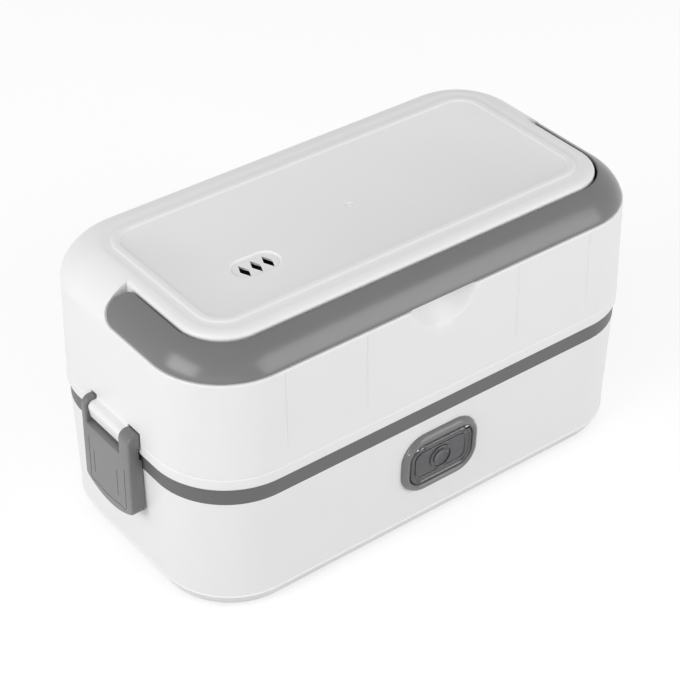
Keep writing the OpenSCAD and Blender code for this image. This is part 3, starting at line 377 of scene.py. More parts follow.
def bend(a, b, c, shares):
    """Points on a curve that leaves a towards b and arrives at c."""
    return [tuple((1 - t) ** 2 * p + 2 * t * (1 - t) * q + t * t * r
                  for p, q, r in zip(a, b, c)) for t in shares]


def finish_piece(bm, name, material, body, node):
    """Turns the built mesh into a piece, shades it, parents it to its body's empty and hides the node
    it replaces.
    """
    bmesh.ops.remove_doubles(bm, verts=bm.verts, dist=0.002 * MM)
    bmesh.ops.recalc_face_normals(bm, faces=bm.faces)
    mesh = bpy.data.meshes.new(name)
    bm.to_mesh(mesh)
    open_edges = sum(1 for e in bm.edges if len(e.link_faces) != 2)
    bm.free()
    smooth_by_angle(mesh)
    piece = bpy.data.objects.new(name, mesh)
    mesh.materials.append(material)
    bpy.context.scene.collection.objects.link(piece)
    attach(piece, body)
    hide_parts(node)
    print(name, len(mesh.polygons), "faces,", open_edges, "open or doubled edges")


print("an arc of 3 points:", arc(0, 0, 1, 0, 90, 2)[1])

# %% [markdown]
# ## The lid's shape
#
# The lid is one moulding. Its walls lean in by 1.43 degrees, its shoulder is flatter than
# a quarter circle, and a raised band frames the top panel. The handle's channel is
# moulded into the shoulder along the front and half of both ends. Each end carries a
# bulge for the latch's bar between two pockets for its hooks. One list of stations goes
# round the outline, and each station has a cross-section of the same number of points,
# so the whole skin is one grid.

# %% Lid sizes
LID_L, LID_W, CORNER_R = 230.0, 123.0, 34.0
LID_Z, TOP_Z = 64.5, 127.1
SHOULDER_Z, SHOULDER_IN, POWER = 112.0, 17.6, 2 / 1.65
LID_WALL = 2.4
TILT = math.radians(1.43)
LEAN = math.tan(TILT)
WALL_LEAN = LEAN * (SHOULDER_Z - LID_Z)
PIVOT_Z, RECESS_R, RECESS_BACK, HANDLE_IN = 120.2, 6.9, 0.7, 14.0
BAR_OUT, BAR_Z = 1.4, 70.5
POCKET_R, POCKET_WALL = 4.2, 1.8
HALF_X, HALF_Y = LID_L / 2 - CORNER_R, LID_W / 2 - CORNER_R


def form_at(t, inset):
    """The shoulder's curve, at t from 0 at the wall to 1 at the flat top."""
    a, b = SHOULDER_IN - inset / 2, TOP_Z - SHOULDER_Z - inset
    c, s = math.cos(t * math.pi / 2), math.sin(t * math.pi / 2)
    return (-inset - WALL_LEAN - a * (1 - max(c, 0) ** POWER), SHOULDER_Z + b * s ** POWER)


def form_t(z, inset):
    """Where on the shoulder's curve the height z lies."""
    b = TOP_Z - SHOULDER_Z - inset
    return math.asin(min(1, max(0, (z - SHOULDER_Z) / b)) ** (1 / POWER)) * 2 / math.pi


def form_off(z, inset):
    """How far the form's surface lies outside the lid's outline at a height."""
    if z <= SHOULDER_Z:
        return -inset - LEAN * (z - LID_Z)
    return form_at(form_t(z, inset), inset)[0]


def form_t_of(off, inset):
    """Where on the shoulder's curve the distance off outside the outline lies."""
    a = SHOULDER_IN - inset / 2
    share = 1 - (-inset - WALL_LEAN - off) / a
    return math.acos(max(0, share) ** (1 / POWER)) * 2 / math.pi


print("lid top is flat", round(-form_at(1, 0)[0], 2), "mm inside its outline")

# %% [markdown]
# ## Stations round the lid
#
# A station is a place on the outline with the direction that it faces. Where a pocket, a
# bulge or the end of the channel starts, two stations share one place, and the faces
# between them become the flat wall of that step.

# %% Lid stations
GROOVES_X, GROOVE_HALF, GROOVE_ROOM = (38.2, 76.5), 0.5, 0.6
SIDE_STEPS, END_STEPS, CORNER_STEPS, SCOOP_STEPS = 40, 22, 26, 44
SCOOP_HALF = 21.0
NEAR_POCKET, FAR_POCKET = (-17.6, -9.3), (13.5, 17.6)
TOUCH = 1e-6


def evenly(half, steps):
    """Places from -half to half in even steps."""
    return [-half + 2 * half * i / steps for i in range(steps + 1)]


def station(cx, cy, nx, ny, **facts):
    """A place on the outline: a corner's centre, the way out, and what the wall does there."""
    made = {"cx": cx, "cy": cy, "nx": nx, "ny": ny, "zone": "wall", "channel": False,
            "groove": 0.0, "shift": 0.0, "floor": PIVOT_Z - RECESS_R, **facts}
    if not made["channel"]:
        made["floor"] = PIVOT_Z
    return made


def side_stations(front):
    """Stations along the front or the back, with three at each upright groove."""
    marks = [s * g + d * GROOVE_HALF for s in (-1, 1) for g in GROOVES_X for d in (-1, 0, 1)]
    xs = [x for x in evenly(HALF_X, SIDE_STEPS) if all(abs(x - m) > GROOVE_ROOM for m in marks)]
    if front:
        xs = [x for x in xs if abs(x) > SCOOP_HALF] + evenly(SCOOP_HALF, SCOOP_STEPS)
    made = []
    for x in sorted(xs + marks):
        deep = 1.0 if any(abs(abs(x) - g) < TOUCH for g in GROOVES_X) else 0.0
        if front:
            made.append(station(x, -HALF_Y, 0, -1, channel=True, groove=deep))
        else:
            made.append(station(-x, HALF_Y, 0, 1, groove=deep))
    return made


def end_zone(y, side):
    """Which part of the latch's seat a place on the end wall belongs to."""
    v = y * side
    if NEAR_POCKET[0] < v < NEAR_POCKET[1] or FAR_POCKET[0] < v < FAR_POCKET[1]:
        return "pocket"
    return "bulge" if NEAR_POCKET[1] <= v <= FAR_POCKET[0] else "wall"


def corner_stations(cx, cy, start, front):
    """Stations round one corner, with one groove in the middle of a front corner."""
    made = []
    for i in range(1, CORNER_STEPS):
        a = math.radians(start + 90 * i / CORNER_STEPS)
        mid = 1.0 if front and i == CORNER_STEPS // 2 else 0.0
        made.append(station(cx, cy, math.cos(a), math.sin(a), channel=front, groove=mid))
    return made


print("places along a side:", len(side_stations(False)))

# %% Stations up the ends


def end_stations(side):
    """Stations up one end wall; side is 1 at the left end and -1 at the right end."""
    edges = [side * v for v in NEAR_POCKET + FAR_POCKET]
    back_y = RECESS_R + RECESS_BACK
    arm_end = [RECESS_BACK + RECESS_R * math.sin(math.radians(a)) for a in range(0, 91, 9)]
    plain = [y for y in evenly(HALF_Y, END_STEPS) if all(abs(y - e) > 0.5 for e in edges)
             and not RECESS_BACK - 0.5 < y < back_y + 0.5]
    made = []
    for y in sorted(plain + edges + arm_end):
        jump = any(abs(y - e) < TOUCH for e in edges)
        last = abs(y - back_y) < TOUCH
        floor = PIVOT_Z - math.sqrt(max(0, RECESS_R ** 2 - max(0, y - RECESS_BACK) ** 2))
        shift = LID_WALL if last else 0.0
        if jump:
            shift = -POCKET_WALL if end_zone(y + 1e-3, side) == "pocket" else POCKET_WALL
        for k in ((-1, 1) if jump or last else (0,)):
            made.append(station(-side * HALF_X, y, -side, 0, zone=end_zone(y + k * 1e-3, side),
                                channel=y < back_y - TOUCH or (last and k < 0),
                                shift=shift, floor=floor))
    return made


lid_stations = (side_stations(True) + corner_stations(HALF_X, -HALF_Y, -90, True)
                + end_stations(-1) + corner_stations(HALF_X, HALF_Y, 0, False)
                + side_stations(False) + corner_stations(-HALF_X, HALF_Y, 90, False)
                + end_stations(1)[::-1] + corner_stations(-HALF_X, -HALF_Y, 180, True))
print("lid stations:", len(lid_stations))

# %% [markdown]
# ## Cross-sections of the lid
#
# Each section starts at the lid's lower edge and runs up the wall, over the shoulder or
# through the channel, to the flat top. The edge of the raised middle is rounded by
# 1.3 mm, which gives the bright line that runs along the handle. Two lines that are too
# fine to see as shapes, one round the rim and the uprights, are cut 0.2 and 0.3 mm deep.

# %% Heights and roundings
LIP_Z = [64.5, 64.6, 64.7, 64.85, 65.0]
RIM_LINE_Z = 69.45
SEAT_Z = [65.2, 66.0, 66.8, 67.6, 68.4, 69.1, RIM_LINE_Z, 69.8, 70.5, 71.2, 71.8, 72.3, 72.7,
          73.1, 73.6, 74.1, 74.6, 75.0]
SEAT_TOP, GROOVE_LOW = 75, 76
LINE_DEEP, GROOVE_DEEP = 0.2, 0.3
WALL_SHARES = [0.1, 0.3, 0.5, 0.65] + [0.7 + 0.3 * i / 14 for i in range(1, 15)]
FOOT_DROP, FOOT_ROWS, SLOPE_ROWS, FLAT_ROWS, ROUND_ROWS = 0.6, 8, 18, 10, 8
EDGE_R, PLATEAU_R, FILLET_R = 0.35, 1.3, 0.4
PLATEAU_IN, FLAT_DROP = 1.7, 0.2


def bulge_section():
    """The bulge that carries the latch's bar: a lip, a front and a rounded top."""
    low = arc(2.0, LID_Z + 1.2, 1.2, -90, 0, 3)
    front = [(3.2 + 0.8 * i / 5, 65.7 + 4.3 * i / 5) for i in range(1, 6)]
    top = arc(1.6, 70.0, 2.4, 0, 90, 8)[1:]
    wall = [(0.5, 72.62), (form_off(73.1, 0) + 0.25, 72.85)]
    return low, front + top + wall + [(form_off(z, 0), z) for z in (73.4, 74.0, 75.0)]


def channel_section(floor, inset, t_end):
    """From the channel's outer edge over its floor and up its inner wall, 18 points."""
    cut, start = HANDLE_IN + inset, form_off(floor, inset)
    e, f, p = (EDGE_R, FILLET_R, PLATEAU_R) if inset == 0 else (0.1, 0.1, 0.4)
    pts = [(start - 0.1, floor - 0.1), (start - e, floor)]
    pts += [(start - e + (f - cut - start + e) * i / 3, floor) for i in (1, 2)]
    pts += [(-cut + f, floor), (-cut + 0.12 * f, floor + 0.12 * f), (-cut, floor + f)]
    edge_z = form_at(form_t_of(-cut, inset), inset)[1]
    low = edge_z - p
    pts += [(-cut, floor + f + (low - floor - f) * i / 3) for i in (1, 2, 3)]
    shares = [i / ROUND_ROWS for i in range(1, ROUND_ROWS + 1)]
    return pts + bend((-cut, low), (-cut, edge_z), form_at(t_end, inset), shares)


print("points over the bulge:", sum(len(part) for part in bulge_section()))

# %% Lid cross-sections


def lower_edge(s, inset):
    """The lid's lower edge: a small radius, or the lip of the bulge."""
    if inset:
        return [(form_off(z, inset), z) for z in LIP_Z]
    if s["zone"] == "bulge":
        return [(0.3, LID_Z)] + bulge_section()[0]
    return [(-1.2, LID_Z), (-0.35, LID_Z), (-0.1, LID_Z + 0.1)] + [
        (form_off(z, 0), z) for z in LIP_Z[3:]]


def seat_rows(s, inset):
    """The latch's seat, or the plain wall with the line that runs round the rim."""
    if s["zone"] == "bulge" and not inset:
        return bulge_section()[1]
    pts = []
    for z in SEAT_Z:
        off, r = form_off(z, inset), POCKET_R + (POCKET_WALL if inset else 0)
        if s["zone"] == "pocket" and abs(z - BAR_Z) < r:
            off = min(off, BAR_OUT - math.sqrt(r * r - (z - BAR_Z) ** 2))
        if s["zone"] == "wall" and not inset and z == RIM_LINE_Z:
            off -= LINE_DEEP
        pts.append((off, z))
    return pts


def section(s, inset):
    """The whole cross-section at a station: [distance outside the outline, height]."""
    pts = lower_edge(s, inset) + seat_rows(s, inset)
    floor = s["floor"] - (inset if s["channel"] else 0)
    foot = min(SHOULDER_Z, floor - FOOT_DROP)
    for share in WALL_SHARES:
        z = SEAT_TOP + (foot - SEAT_TOP) * share
        line = 0 if inset or z <= GROOVE_LOW else GROOVE_DEEP * s["groove"]
        pts.append((form_off(z, inset) - line, z))
    edge = EDGE_R if s["channel"] and not inset else 0
    rise = (floor - edge - foot) / FOOT_ROWS
    pts += [(form_off(foot + rise * i, inset), foot + rise * i) for i in range(1, FOOT_ROWS + 1)]
    t_end = form_t_of(-HANDLE_IN - inset - PLATEAU_IN, inset)
    if s["channel"]:
        pts += channel_section(floor, inset, t_end)
    else:
        t0 = form_t(floor, inset)
        pts += [form_at(t0 + (t_end - t0) * i / SLOPE_ROWS, inset) for i in range(1, SLOPE_ROWS + 1)]
    for share in (i / FLAT_ROWS for i in range(1, FLAT_ROWS + 1)):
        off, z = form_at(t_end + (1 - t_end) * share, inset)
        pts.append((off, z - (0 if inset else FLAT_DROP * share ** 2)))
    return pts


counts = {len(section(s, inset)) for s in lid_stations for inset in (0, LID_WALL)}
print("points in a lid section:", counts)

# %% [markdown]
# ## The finger scoop
#
# Below the handle, the front wall is dished so that a finger can hook it. The real dish
# is a piece of a sphere with a softened rim. A Boolean would leave a hard rim, so the
# grid's points are pushed in to the sphere instead, with a smooth step of 0.5 mm.

# %% Scoop and placing of the lid's points
SCOOP_R, SCOOP_Y, SCOOP_Z = 25.0, -77.6, 119.1
SCOOP_SOFT = 0.5


def scooped(x, y, z, inset):
    """Pushes a point of the front wall back to the sphere of the scoop."""
    r = SCOOP_R + inset
    inside = r * r - x * x - (z - SCOOP_Z) ** 2
    if inside <= 0 or y > HANDLE_IN - LID_W / 2:
        return y
    ball = SCOOP_Y + math.sqrt(inside)
    gap = max(SCOOP_SOFT - abs(ball - y), 0) / SCOOP_SOFT
    return max(ball, y) + gap * gap * SCOOP_SOFT / 4


def lid_point(s, off, z, inset):
    """Where a point of a section lies in space."""
    reach = CORNER_R + off
    x = s["cx"] + reach * s["nx"]
    y = s["cy"] + reach * s["ny"] + (s["shift"] if inset else 0)
    if s["ny"] < -0.999 and abs(x) < SCOOP_HALF + inset and z < PIVOT_Z:
        y = scooped(x, y, z, inset)
    return (x, y, z)


print("the scoop is", round(SCOOP_Y + SCOOP_R + LID_W / 2 - WALL_LEAN, 1), "mm deep at most")

# %% [markdown]
# ## Panel, vents and gate mark
#
# The raised band round the panel is 3.9 mm wide with sloped edges, and those edges
# draw the two fine lines of the photograph. Inside it, a small sunken field holds
# three diamond openings. The little ring near the middle is where the moulding was fed.

# %% Top panel
PANEL_X, PANEL_Y, PANEL_R = 93.65 - 12.6, 39.5 - 12.6, 12.6
PANEL_Z = TOP_Z - 0.3
BAND_RISE = 0.3
BAND_STEPS = [(-0.1, -0.24), (0.05, -0.2), (0.65, 0.24), (0.85, BAND_RISE), (1.8, BAND_RISE),
              (3.1, BAND_RISE), (3.25, 0.24), (3.8, -0.24), (3.95, PANEL_Z - TOP_Z)]
FIELD_Y, FIELD_L, FIELD_W, FIELD_DEEP = -13.5, 22.0, 13.0, 0.7
FIELD_STEPS = [(0, 0), (0.4, 0.45), (0.8, FIELD_DEEP)]
VENT_X, VENT_Y, VENT_PITCH, VENT_L, VENT_B = -56.0, -13.9, 5.5, 9.0, 3.9
VENT_TIP, UNDERCUT = 0.09, 0.8
VENT_Z = PANEL_Z - FIELD_DEEP
VENT_STEPS = [(0.2, VENT_Z), (0.05, VENT_Z - 0.06), (0.0, VENT_Z - 0.2), (UNDERCUT, VENT_Z - 0.8),
              (UNDERCUT, TOP_Z - LID_WALL)]
GATE = (-1.9, -2.0)
GATE_STEPS = [(1.8, PANEL_Z), (1.55, PANEL_Z - 0.3), (1.35, PANEL_Z - 0.3), (1.1, PANEL_Z)]


def panel_point(s, inwards, z):
    """A point of the panel's border, so far inside the border's outer line."""
    x = s["cx"] * PANEL_X / HALF_X + (PANEL_R - inwards) * s["nx"]
    y = s["cy"] * PANEL_Y / HALF_Y + (PANEL_R - inwards) * s["ny"]
    return (x, y, z)


def capsule(cx, cy, length, r, n=14):
    """The outline of a slot with round ends."""
    half = length / 2 - r
    return arc(cx + half, cy, r, -90, 90, n) + arc(cx - half, cy, r, 90, 270, n)


def diamond(cx, cy, grow):
    """A vent opening with slightly rounded corners."""
    l, b = VENT_L / 2 + grow, VENT_B / 2 + grow * 0.6
    tips = [Vector(tip) for tip in ((0, -l), (b, 0), (0, l), (-b, 0))]
    made = []
    for i, tip in enumerate(tips):
        near, far = tip.lerp(tips[i - 1], VENT_TIP), tip.lerp(tips[(i + 1) % 4], VENT_TIP)
        made += [(cx + x, cy + y) for x, y in bend(near, tip, far, (0, 0.33, 0.67, 1))]
    return made


print("one vent has", len(diamond(0, 0, 0)), "points and the field", len(capsule(0, 0, 3, 1)))

# %% Build the lid


def skin_rows(bm, inset):
    """All rows of the lid's skin, each one going round the stations."""
    columns = [section(s, inset) for s in lid_stations]
    rows = [add_row(bm, [lid_point(s, *point, inset) for s, point in zip(lid_stations, level)])
            for level in zip(*columns)]
    join_all(bm, rows)
    return rows


def as_loop(points, z):
    """A loop of vertices at one height."""
    return add_row(bm, [(x, y, z) for x, y in points])


bm = bmesh.new()
outer_rows, inner_rows = skin_rows(bm, 0), skin_rows(bm, LID_WALL)
join_rows(bm, inner_rows[0], outer_rows[0])
band = [add_row(bm, [panel_point(s, inwards, TOP_Z + rise) for s in lid_stations])
        for inwards, rise in BAND_STEPS]
join_all(bm, [outer_rows[-1]] + band)
bmesh.ops.remove_doubles(bm, verts=bm.verts, dist=0.001 * MM)
ring = [v for v in band[-1] if v.is_valid]
roof = [v for v in inner_rows[-1] if v.is_valid]
field = [as_loop(capsule(VENT_X, FIELD_Y, FIELD_L - 2 * w, FIELD_W / 2 - w), PANEL_Z - deep)
         for w, deep in FIELD_STEPS]
join_all(bm, field)
gate = [as_loop(arc(*GATE, r, 0, 360 * 31 / 32, 31), z) for r, z in GATE_STEPS]
join_all(bm, gate)
bm.faces.new(gate[-1])
vents = [[as_loop(diamond(VENT_X + i * VENT_PITCH, VENT_Y, grow), z) for grow, z in VENT_STEPS]
         for i in (-1, 0, 1)]
for vent in vents:
    join_all(bm, vent)
fill_loops(bm, ring, field[0], gate[0])
fill_loops(bm, field[-1], *[vent[0] for vent in vents])
# At the right end, the inner points of the channel's end are shifted past the pocket's, so
# the ceiling's outline runs back over itself there, and this fill leaves gaps
fill_loops(bm, roof, *[vent[-1] for vent in vents])
print("faces in the lid's skin:", len(bm.faces))

# %% [markdown]
# ## The bar stubs
#
# The latch hooks turn on two short bars that stick out of the bulge. They are part of
# the same moulding, and only their ends show, inside the hooks.

# %% Bar stubs
BAR_R, BAR_SOFT = 1.9, 0.4
LATCH_HALF = 17.2
for side in (1, -1):
    for y0, y1 in ((-LATCH_HALF + 2.4, NEAR_POCKET[1] + 1), (FAR_POCKET[0] - 1, LATCH_HALF)):
        ends = ((y0, BAR_R - BAR_SOFT), (y0 + BAR_SOFT, BAR_R), (y1 - BAR_SOFT, BAR_R),
                (y1, BAR_R - BAR_SOFT))
        rings = [add_row(bm, [(-side * (LID_L / 2 + BAR_OUT + u), side * y, BAR_Z + v)
                              for u, v in arc(0, 0, r, 0, 345, 23)]) for y, r in ends]
        join_all(bm, rings, capped=True)
finish_piece(bm, "lid_skin", white_pp, "lid", "lid_shell")

# %% [markdown]
# ## The handle
#
# The handle is a U-shaped bar of grey ABS that lies flush in the channel. Its outer face
# is the lid's own shoulder curve, and its arms end in round tips about the pivots.
# It could be cut from the lid's form with a Boolean, but then its edges would be hard.
# Here each section is drawn with softened corners, and the sections are joined. The
# real bar is hollow on its inner side, so that its walls are even, and so is this one.

# %% Handle sections
ARM_R, SIDE_GAP, SUNK = 6.4, 1.15, 0.2
BOTTOM_SOFT, TOP_SOFT, INNER_SOFT = 0.5, 0.9, 0.6
PIN_R, PIN_LEN, PIN_SOFT = 3.0, 5.0, 0.4
BAR_WALL, HOLLOW, RIB = 2.4, 6.0, 1.2
FACE_STEPS, SIDE_START = 22, 34


def walk(path, distance):
    """The point at a distance along a path of points, and the rest of the path."""
    for i, (a, b) in enumerate(zip(path, path[1:])):
        step = math.dist(a, b)
        if step >= distance and step > 1e-9:
            point = tuple(p + (q - p) * distance / step for p, q in zip(a, b))
            return point, [point] + path[i + 1:]
        distance -= step
    return path[-1], [path[-1]]


def spread(path, n):
    """The same path with n equal steps."""
    total = sum(math.dist(a, b) for a, b in zip(path, path[1:]))
    return [walk(path, total * i / n)[0] for i in range(n)] + [path[-1]]


def rounded(a, corner, b, n):
    """The points between a and b where a corner is rounded in n steps."""
    return bend(a, corner, b, [i / n for i in range(1, n)])


def handle_section(y):
    """Corner, outer face, top edge and inner side of the bar, as a closed loop."""
    inner = -HANDLE_IN + SIDE_GAP
    brim = form_at(form_t_of(inner, SUNK), SUNK)[1]
    middle, half = (PIVOT_Z - ARM_R + brim) / 2, (brim - PIVOT_Z + ARM_R) / 2
    half *= math.sqrt(max(1 - (max(0, y) / ARM_R) ** 2, 0.0002))
    low, high = middle - half, middle + half
    bottom, top, side = (min(v, half * 0.6) for v in (BOTTOM_SOFT, TOP_SOFT, INNER_SOFT))
    heights = [low + (high - low) * i / 40 for i in range(41)]
    face = [(form_off(z, SUNK), z) for z in heights] + [(inner, high)]
    corner = face[0]
    start = (corner[0] - bottom, low)
    turn, face = walk(face, bottom)
    face = spread(walk(face[::-1], top)[1][::-1], FACE_STEPS)
    z0, z1 = high - top, low + side
    loop = [((corner[0] + inner) / 2, low), start] + rounded(start, corner, turn, 5)
    loop += face + rounded(face[-1], (inner, high), (inner, z0), 6)
    loop += [(inner, z0 + (z1 - z0) * i / 4) for i in range(5)]
    return loop + rounded((inner, z1), (inner, low), (inner + side, low), 4) + [(inner + side, low)]


def cored(loop):
    """Presses the inner side of the bar in, which makes the hollow of the real handle."""
    made = list(loop)
    inner, top = made[SIDE_START]
    roof, base = top - RIB, made[SIDE_START + 4][1] + BAR_WALL
    far, near = (min(inner + HOLLOW, form_off(z, SUNK) - BAR_WALL) for z in (roof, base))
    made[SIDE_START + 1:SIDE_START + 5] = [(inner, top - 0.4), (max(far, inner + 0.2), roof),
                                           (near, base), (inner, base)]
    return made


print("points in a handle section:", len(handle_section(-20)), len(handle_section(5)))

# %% Build the handle
TIP_ANGLES = (86, 80, 73, 65, 56, 46, 35, 23, 11, 0)
HOLLOW_Y, FRONT_Y = -9.9, -30
TURN_STEPS, FRONT_STEPS = 40, 30


def corner_path(side, start):
    """Places round a front corner, each with the way out and the section's y."""
    turns = (math.radians(start + 90 * i / TURN_STEPS) for i in range(1, TURN_STEPS))
    return [(side * HALF_X, -HALF_Y, math.cos(a), math.sin(a), FRONT_Y) for a in turns]


tip = [ARM_R * math.sin(math.radians(a)) for a in TIP_ANGLES]
arm = tip + [-5.0, -9.8, -10.0] + [-13 - 3.0 * i for i in range(5)] + [-HALF_Y]
path = [(-HALF_X, y, -1, 0, y) for y in arm] + corner_path(-1, 180)
path += [(x, -HALF_Y, 0, -1, FRONT_Y) for x in evenly(HALF_X, FRONT_STEPS)]
path += corner_path(1, 270) + [(HALF_X, y, 1, 0, y) for y in arm[::-1]]
bm = bmesh.new()
rings = []
for cx, cy, nx, ny, y in path:
    loop = cored(handle_section(y)) if y < HOLLOW_Y else handle_section(y)
    rings.append(add_row(bm, [(cx + (CORNER_R + off) * nx, cy + (CORNER_R + off) * ny, z)
                              for off, z in loop]))
join_all(bm, rings, capped=True)
for side in (-1, 1):
    x0 = LID_L / 2 - HANDLE_IN + SIDE_GAP
    pin = [add_row(bm, [(side * x, u, PIVOT_Z + v) for u, v in arc(0, 0, r, 0, 350, 35)])
           for x, r in ((x0 + 0.5, PIN_R), (x0 - PIN_LEN + PIN_SOFT, PIN_R),
                        (x0 - PIN_LEN, PIN_R - PIN_SOFT))]
    join_all(bm, pin, capped=True)
finish_piece(bm, "handle_bar", grey_abs, "handle", "handle")

# %% [markdown]
# ## The latches
#
# A latch is one grey moulding: a front plate, thin side walls and two hooks that clip
# over the lid's bar. The CAD solid already has the right form, but all its edges are
# sharp. Its flat faces are merged, and then Bevel rounds only the edges that a thumb
# meets. The faint lines in the front plate are cut afterwards with a Boolean, because a
# bevel that ran into such a fine groove would spoil it.

# %% Latch helpers
BAR_O = LID_L / 2 + BAR_OUT
LATCH_Z0, LATCH_O, HOOK_R = 30.6, 120.6, 3.8
LATCH_ROUND, FLATNESS = 0.8, math.radians(0.6)
LINE_HALF, LINE_IN, LINE_OUT = 0.17, 0.2, 1.0


def on_latch(v, side):
    """A vertex of the latch, as [distance outside the middle, height] in millimetres."""
    return -side * v.co.x / MM, v.co.z / MM


def is_outer_edge(edge, side):
    """Whether an edge lies on the front of the latch or round its hooks."""
    if len(edge.link_faces) != 2 or edge.calc_face_angle(0) < SHARP:
        return False
    spots = [on_latch(v, side) for v in edge.verts]
    from_bar = [math.dist(p, (BAR_O, BAR_Z)) for p in spots]
    on_front = all(o > BAR_O - 0.2 for o, z in spots) and max(from_bar) > HOOK_R - 1.2
    on_hook = all(z > BAR_Z - 4 for o, z in spots) and min(from_bar) > HOOK_R - 0.6
    return on_front or on_hook


def latch_front(z):
    """How far out the front plate lies at a height."""
    return LATCH_O - (LATCH_O - BAR_O - HOOK_R) * (z - LATCH_Z0) / (BAR_Z - LATCH_Z0)


def groove_cutter(bm, path, side):
    """A thin closed bar along a path of [y, z] points on the front plate."""
    rings = []
    for i, (y, z) in enumerate(path):
        along = Vector(path[min(i + 1, len(path) - 1)]) - Vector(path[max(i - 1, 0)])
        across = Vector((-along.y, along.x)).normalized() * LINE_HALF
        ring = []
        for k, out in ((1, -LINE_IN), (1, LINE_OUT), (-1, LINE_OUT), (-1, -LINE_IN)):
            o = latch_front(z + k * across.y) + out
            ring.append((-side * o, side * (y + k * across.x), z + k * across.y))
        rings.append(add_row(bm, ring))
    join_all(bm, rings, capped=True)


print("the latch's front leans out by", round(latch_front(LATCH_Z0) - latch_front(BAR_Z), 1), "mm")

# %% Lines on the latch
# The long line runs down one side, round above the curved lower edge and up the other
U_HALF, U_HIGH, U_LOW, U_R = 12.9, 56.5, 37.4, 2.3
U_LINE = ([(-U_HALF, U_HIGH), (-U_HALF, 46.0), (-U_HALF, U_LOW)]
          + arc(U_R - U_HALF, U_LOW, U_R, 190, 255, 6) + arc(0, 65.6, 31.0, 254, 286, 16)
          + arc(U_HALF - U_R, U_LOW, U_R, 285, 350, 6)
          + [(U_HALF, U_LOW), (U_HALF, 46.0), (U_HALF, U_HIGH)])
GROOVES = [U_LINE, [(-7.3, 53.0), (-7.3, 46.0), (-7.3, 39.8)],
           [(9.6, 51.5), (9.6, 46.0), (9.6, 40.5)]]


def cut_away(body, cutter_mesh):
    """The body's mesh with the cutter's mesh taken away."""
    solid, cutter = (bpy.data.objects.new("latch_step", m) for m in (body, cutter_mesh))
    for piece in (solid, cutter):
        bpy.context.scene.collection.objects.link(piece)
    boolean = solid.modifiers.new("lines", "BOOLEAN")
    boolean.operation, boolean.solver, boolean.object = "DIFFERENCE", "EXACT", cutter
    bpy.context.view_layer.update()
    seen = solid.evaluated_get(bpy.context.evaluated_depsgraph_get())
    cut = bpy.data.meshes.new_from_object(seen)
    for piece in (solid, cutter):
        bpy.data.objects.remove(piece)
    return cut


print("lines on each latch:", len(GROOVES))

# %% Build both latches
for name, side in (("left_latch", 1), ("right_latch", -1)):
    bm = bmesh.new()
    bm.from_mesh(nodes[name].data)
    bmesh.ops.remove_doubles(bm, verts=bm.verts, dist=0.002 * MM)
    bmesh.ops.dissolve_limit(bm, angle_limit=FLATNESS, verts=bm.verts, edges=bm.edges)
    edges = [edge for edge in bm.edges if is_outer_edge(edge, side)]
    print(name, "rounded edges:", len(edges))
    bmesh.ops.bevel(bm, geom=edges, offset=LATCH_ROUND * MM, offset_type="OFFSET", segments=5,
                    profile=0.5, affect="EDGES", clamp_overlap=False)
    body, lines = (bpy.data.meshes.new(name + end) for end in ("_body", "_lines"))
    bm.to_mesh(body)
    bm.clear()
    for groove in GROOVES:
        groove_cutter(bm, groove, side)
    bmesh.ops.recalc_face_normals(bm, faces=bm.faces)
    bm.to_mesh(lines)
    bm.clear()
    bm.from_mesh(cut_away(body, lines))
    finish_piece(bm, name + "_moulding", grey_abs, name, name)

# %% [markdown]
# ## The frame of the power inlet
#
# The frame is a soft, domed ring of grey ABS that stands 2.5 mm proud of the leaning
# wall, with a fine lip round the opening. It could be a bevelled plate, but a dome needs
# a profile that changes all the way across, so rows are laid from the outer outline to
# the opening and on down the sleeve behind it.

# %% Inlet frame
WALL_Y, INLET_Z = -60.018, 35.3
BEZEL, PORT = (39.4, 29.0, 11.5), (33.0, 21.0, 7.0)
SLEEVE, WALL_T = 1.1, 2.4
DOME = [(0.0, 0.0), (0.0, 0.3), (0.02, 0.62), (0.06, 0.98), (0.12, 1.36), (0.2, 1.74),
        (0.3, 2.08), (0.41, 2.34), (0.52, 2.47), (0.63, 2.47), (0.74, 2.33), (0.83, 2.08),
        (0.88, 1.9), (0.91, 1.94), (0.94, 2.1), (0.97, 2.1), (1.0, 1.9)]


def in_wall(x, z, proud):
    """A point of the inlet's own frame, placed on the leaning front wall."""
    return (x, WALL_Y - proud * math.cos(TILT) - z * math.sin(TILT),
            INLET_Z - proud * math.sin(TILT) + z * math.cos(TILT))


def round_outline(length, height, r, steps=14):
    """A rectangle with round corners, going once round, as [x, z] points."""
    made = []
    for k, (sx, sz) in enumerate(((1, 1), (-1, 1), (-1, -1), (1, -1))):
        made += arc(sx * (length / 2 - r), sz * (height / 2 - r), r, 90 * k, 90 * k + 90, steps)
    return made


def wall_row(bm, points, proud):
    """A row of [x, z] points that stand proud of the leaning wall."""
    return add_row(bm, [in_wall(x, z, proud) for x, z in points])


outer, port = round_outline(*BEZEL), round_outline(*PORT)
sleeve = round_outline(PORT[0] + 2 * SLEEVE, PORT[1] + 2 * SLEEVE, PORT[2] + SLEEVE)
bm = bmesh.new()
rings = []
for share, proud in DOME:
    between = [((1 - share) * a[0] + share * b[0], (1 - share) * a[1] + share * b[1])
               for a, b in zip(outer, port)]
    rings.append(wall_row(bm, between, proud))
rings += [wall_row(bm, port, -WALL_T), wall_row(bm, sleeve, -WALL_T), wall_row(bm, sleeve, 0.0)]
join_all(bm, rings + rings[:1])
finish_piece(bm, "inlet_frame", grey_abs, "base", "inlet_bezel")

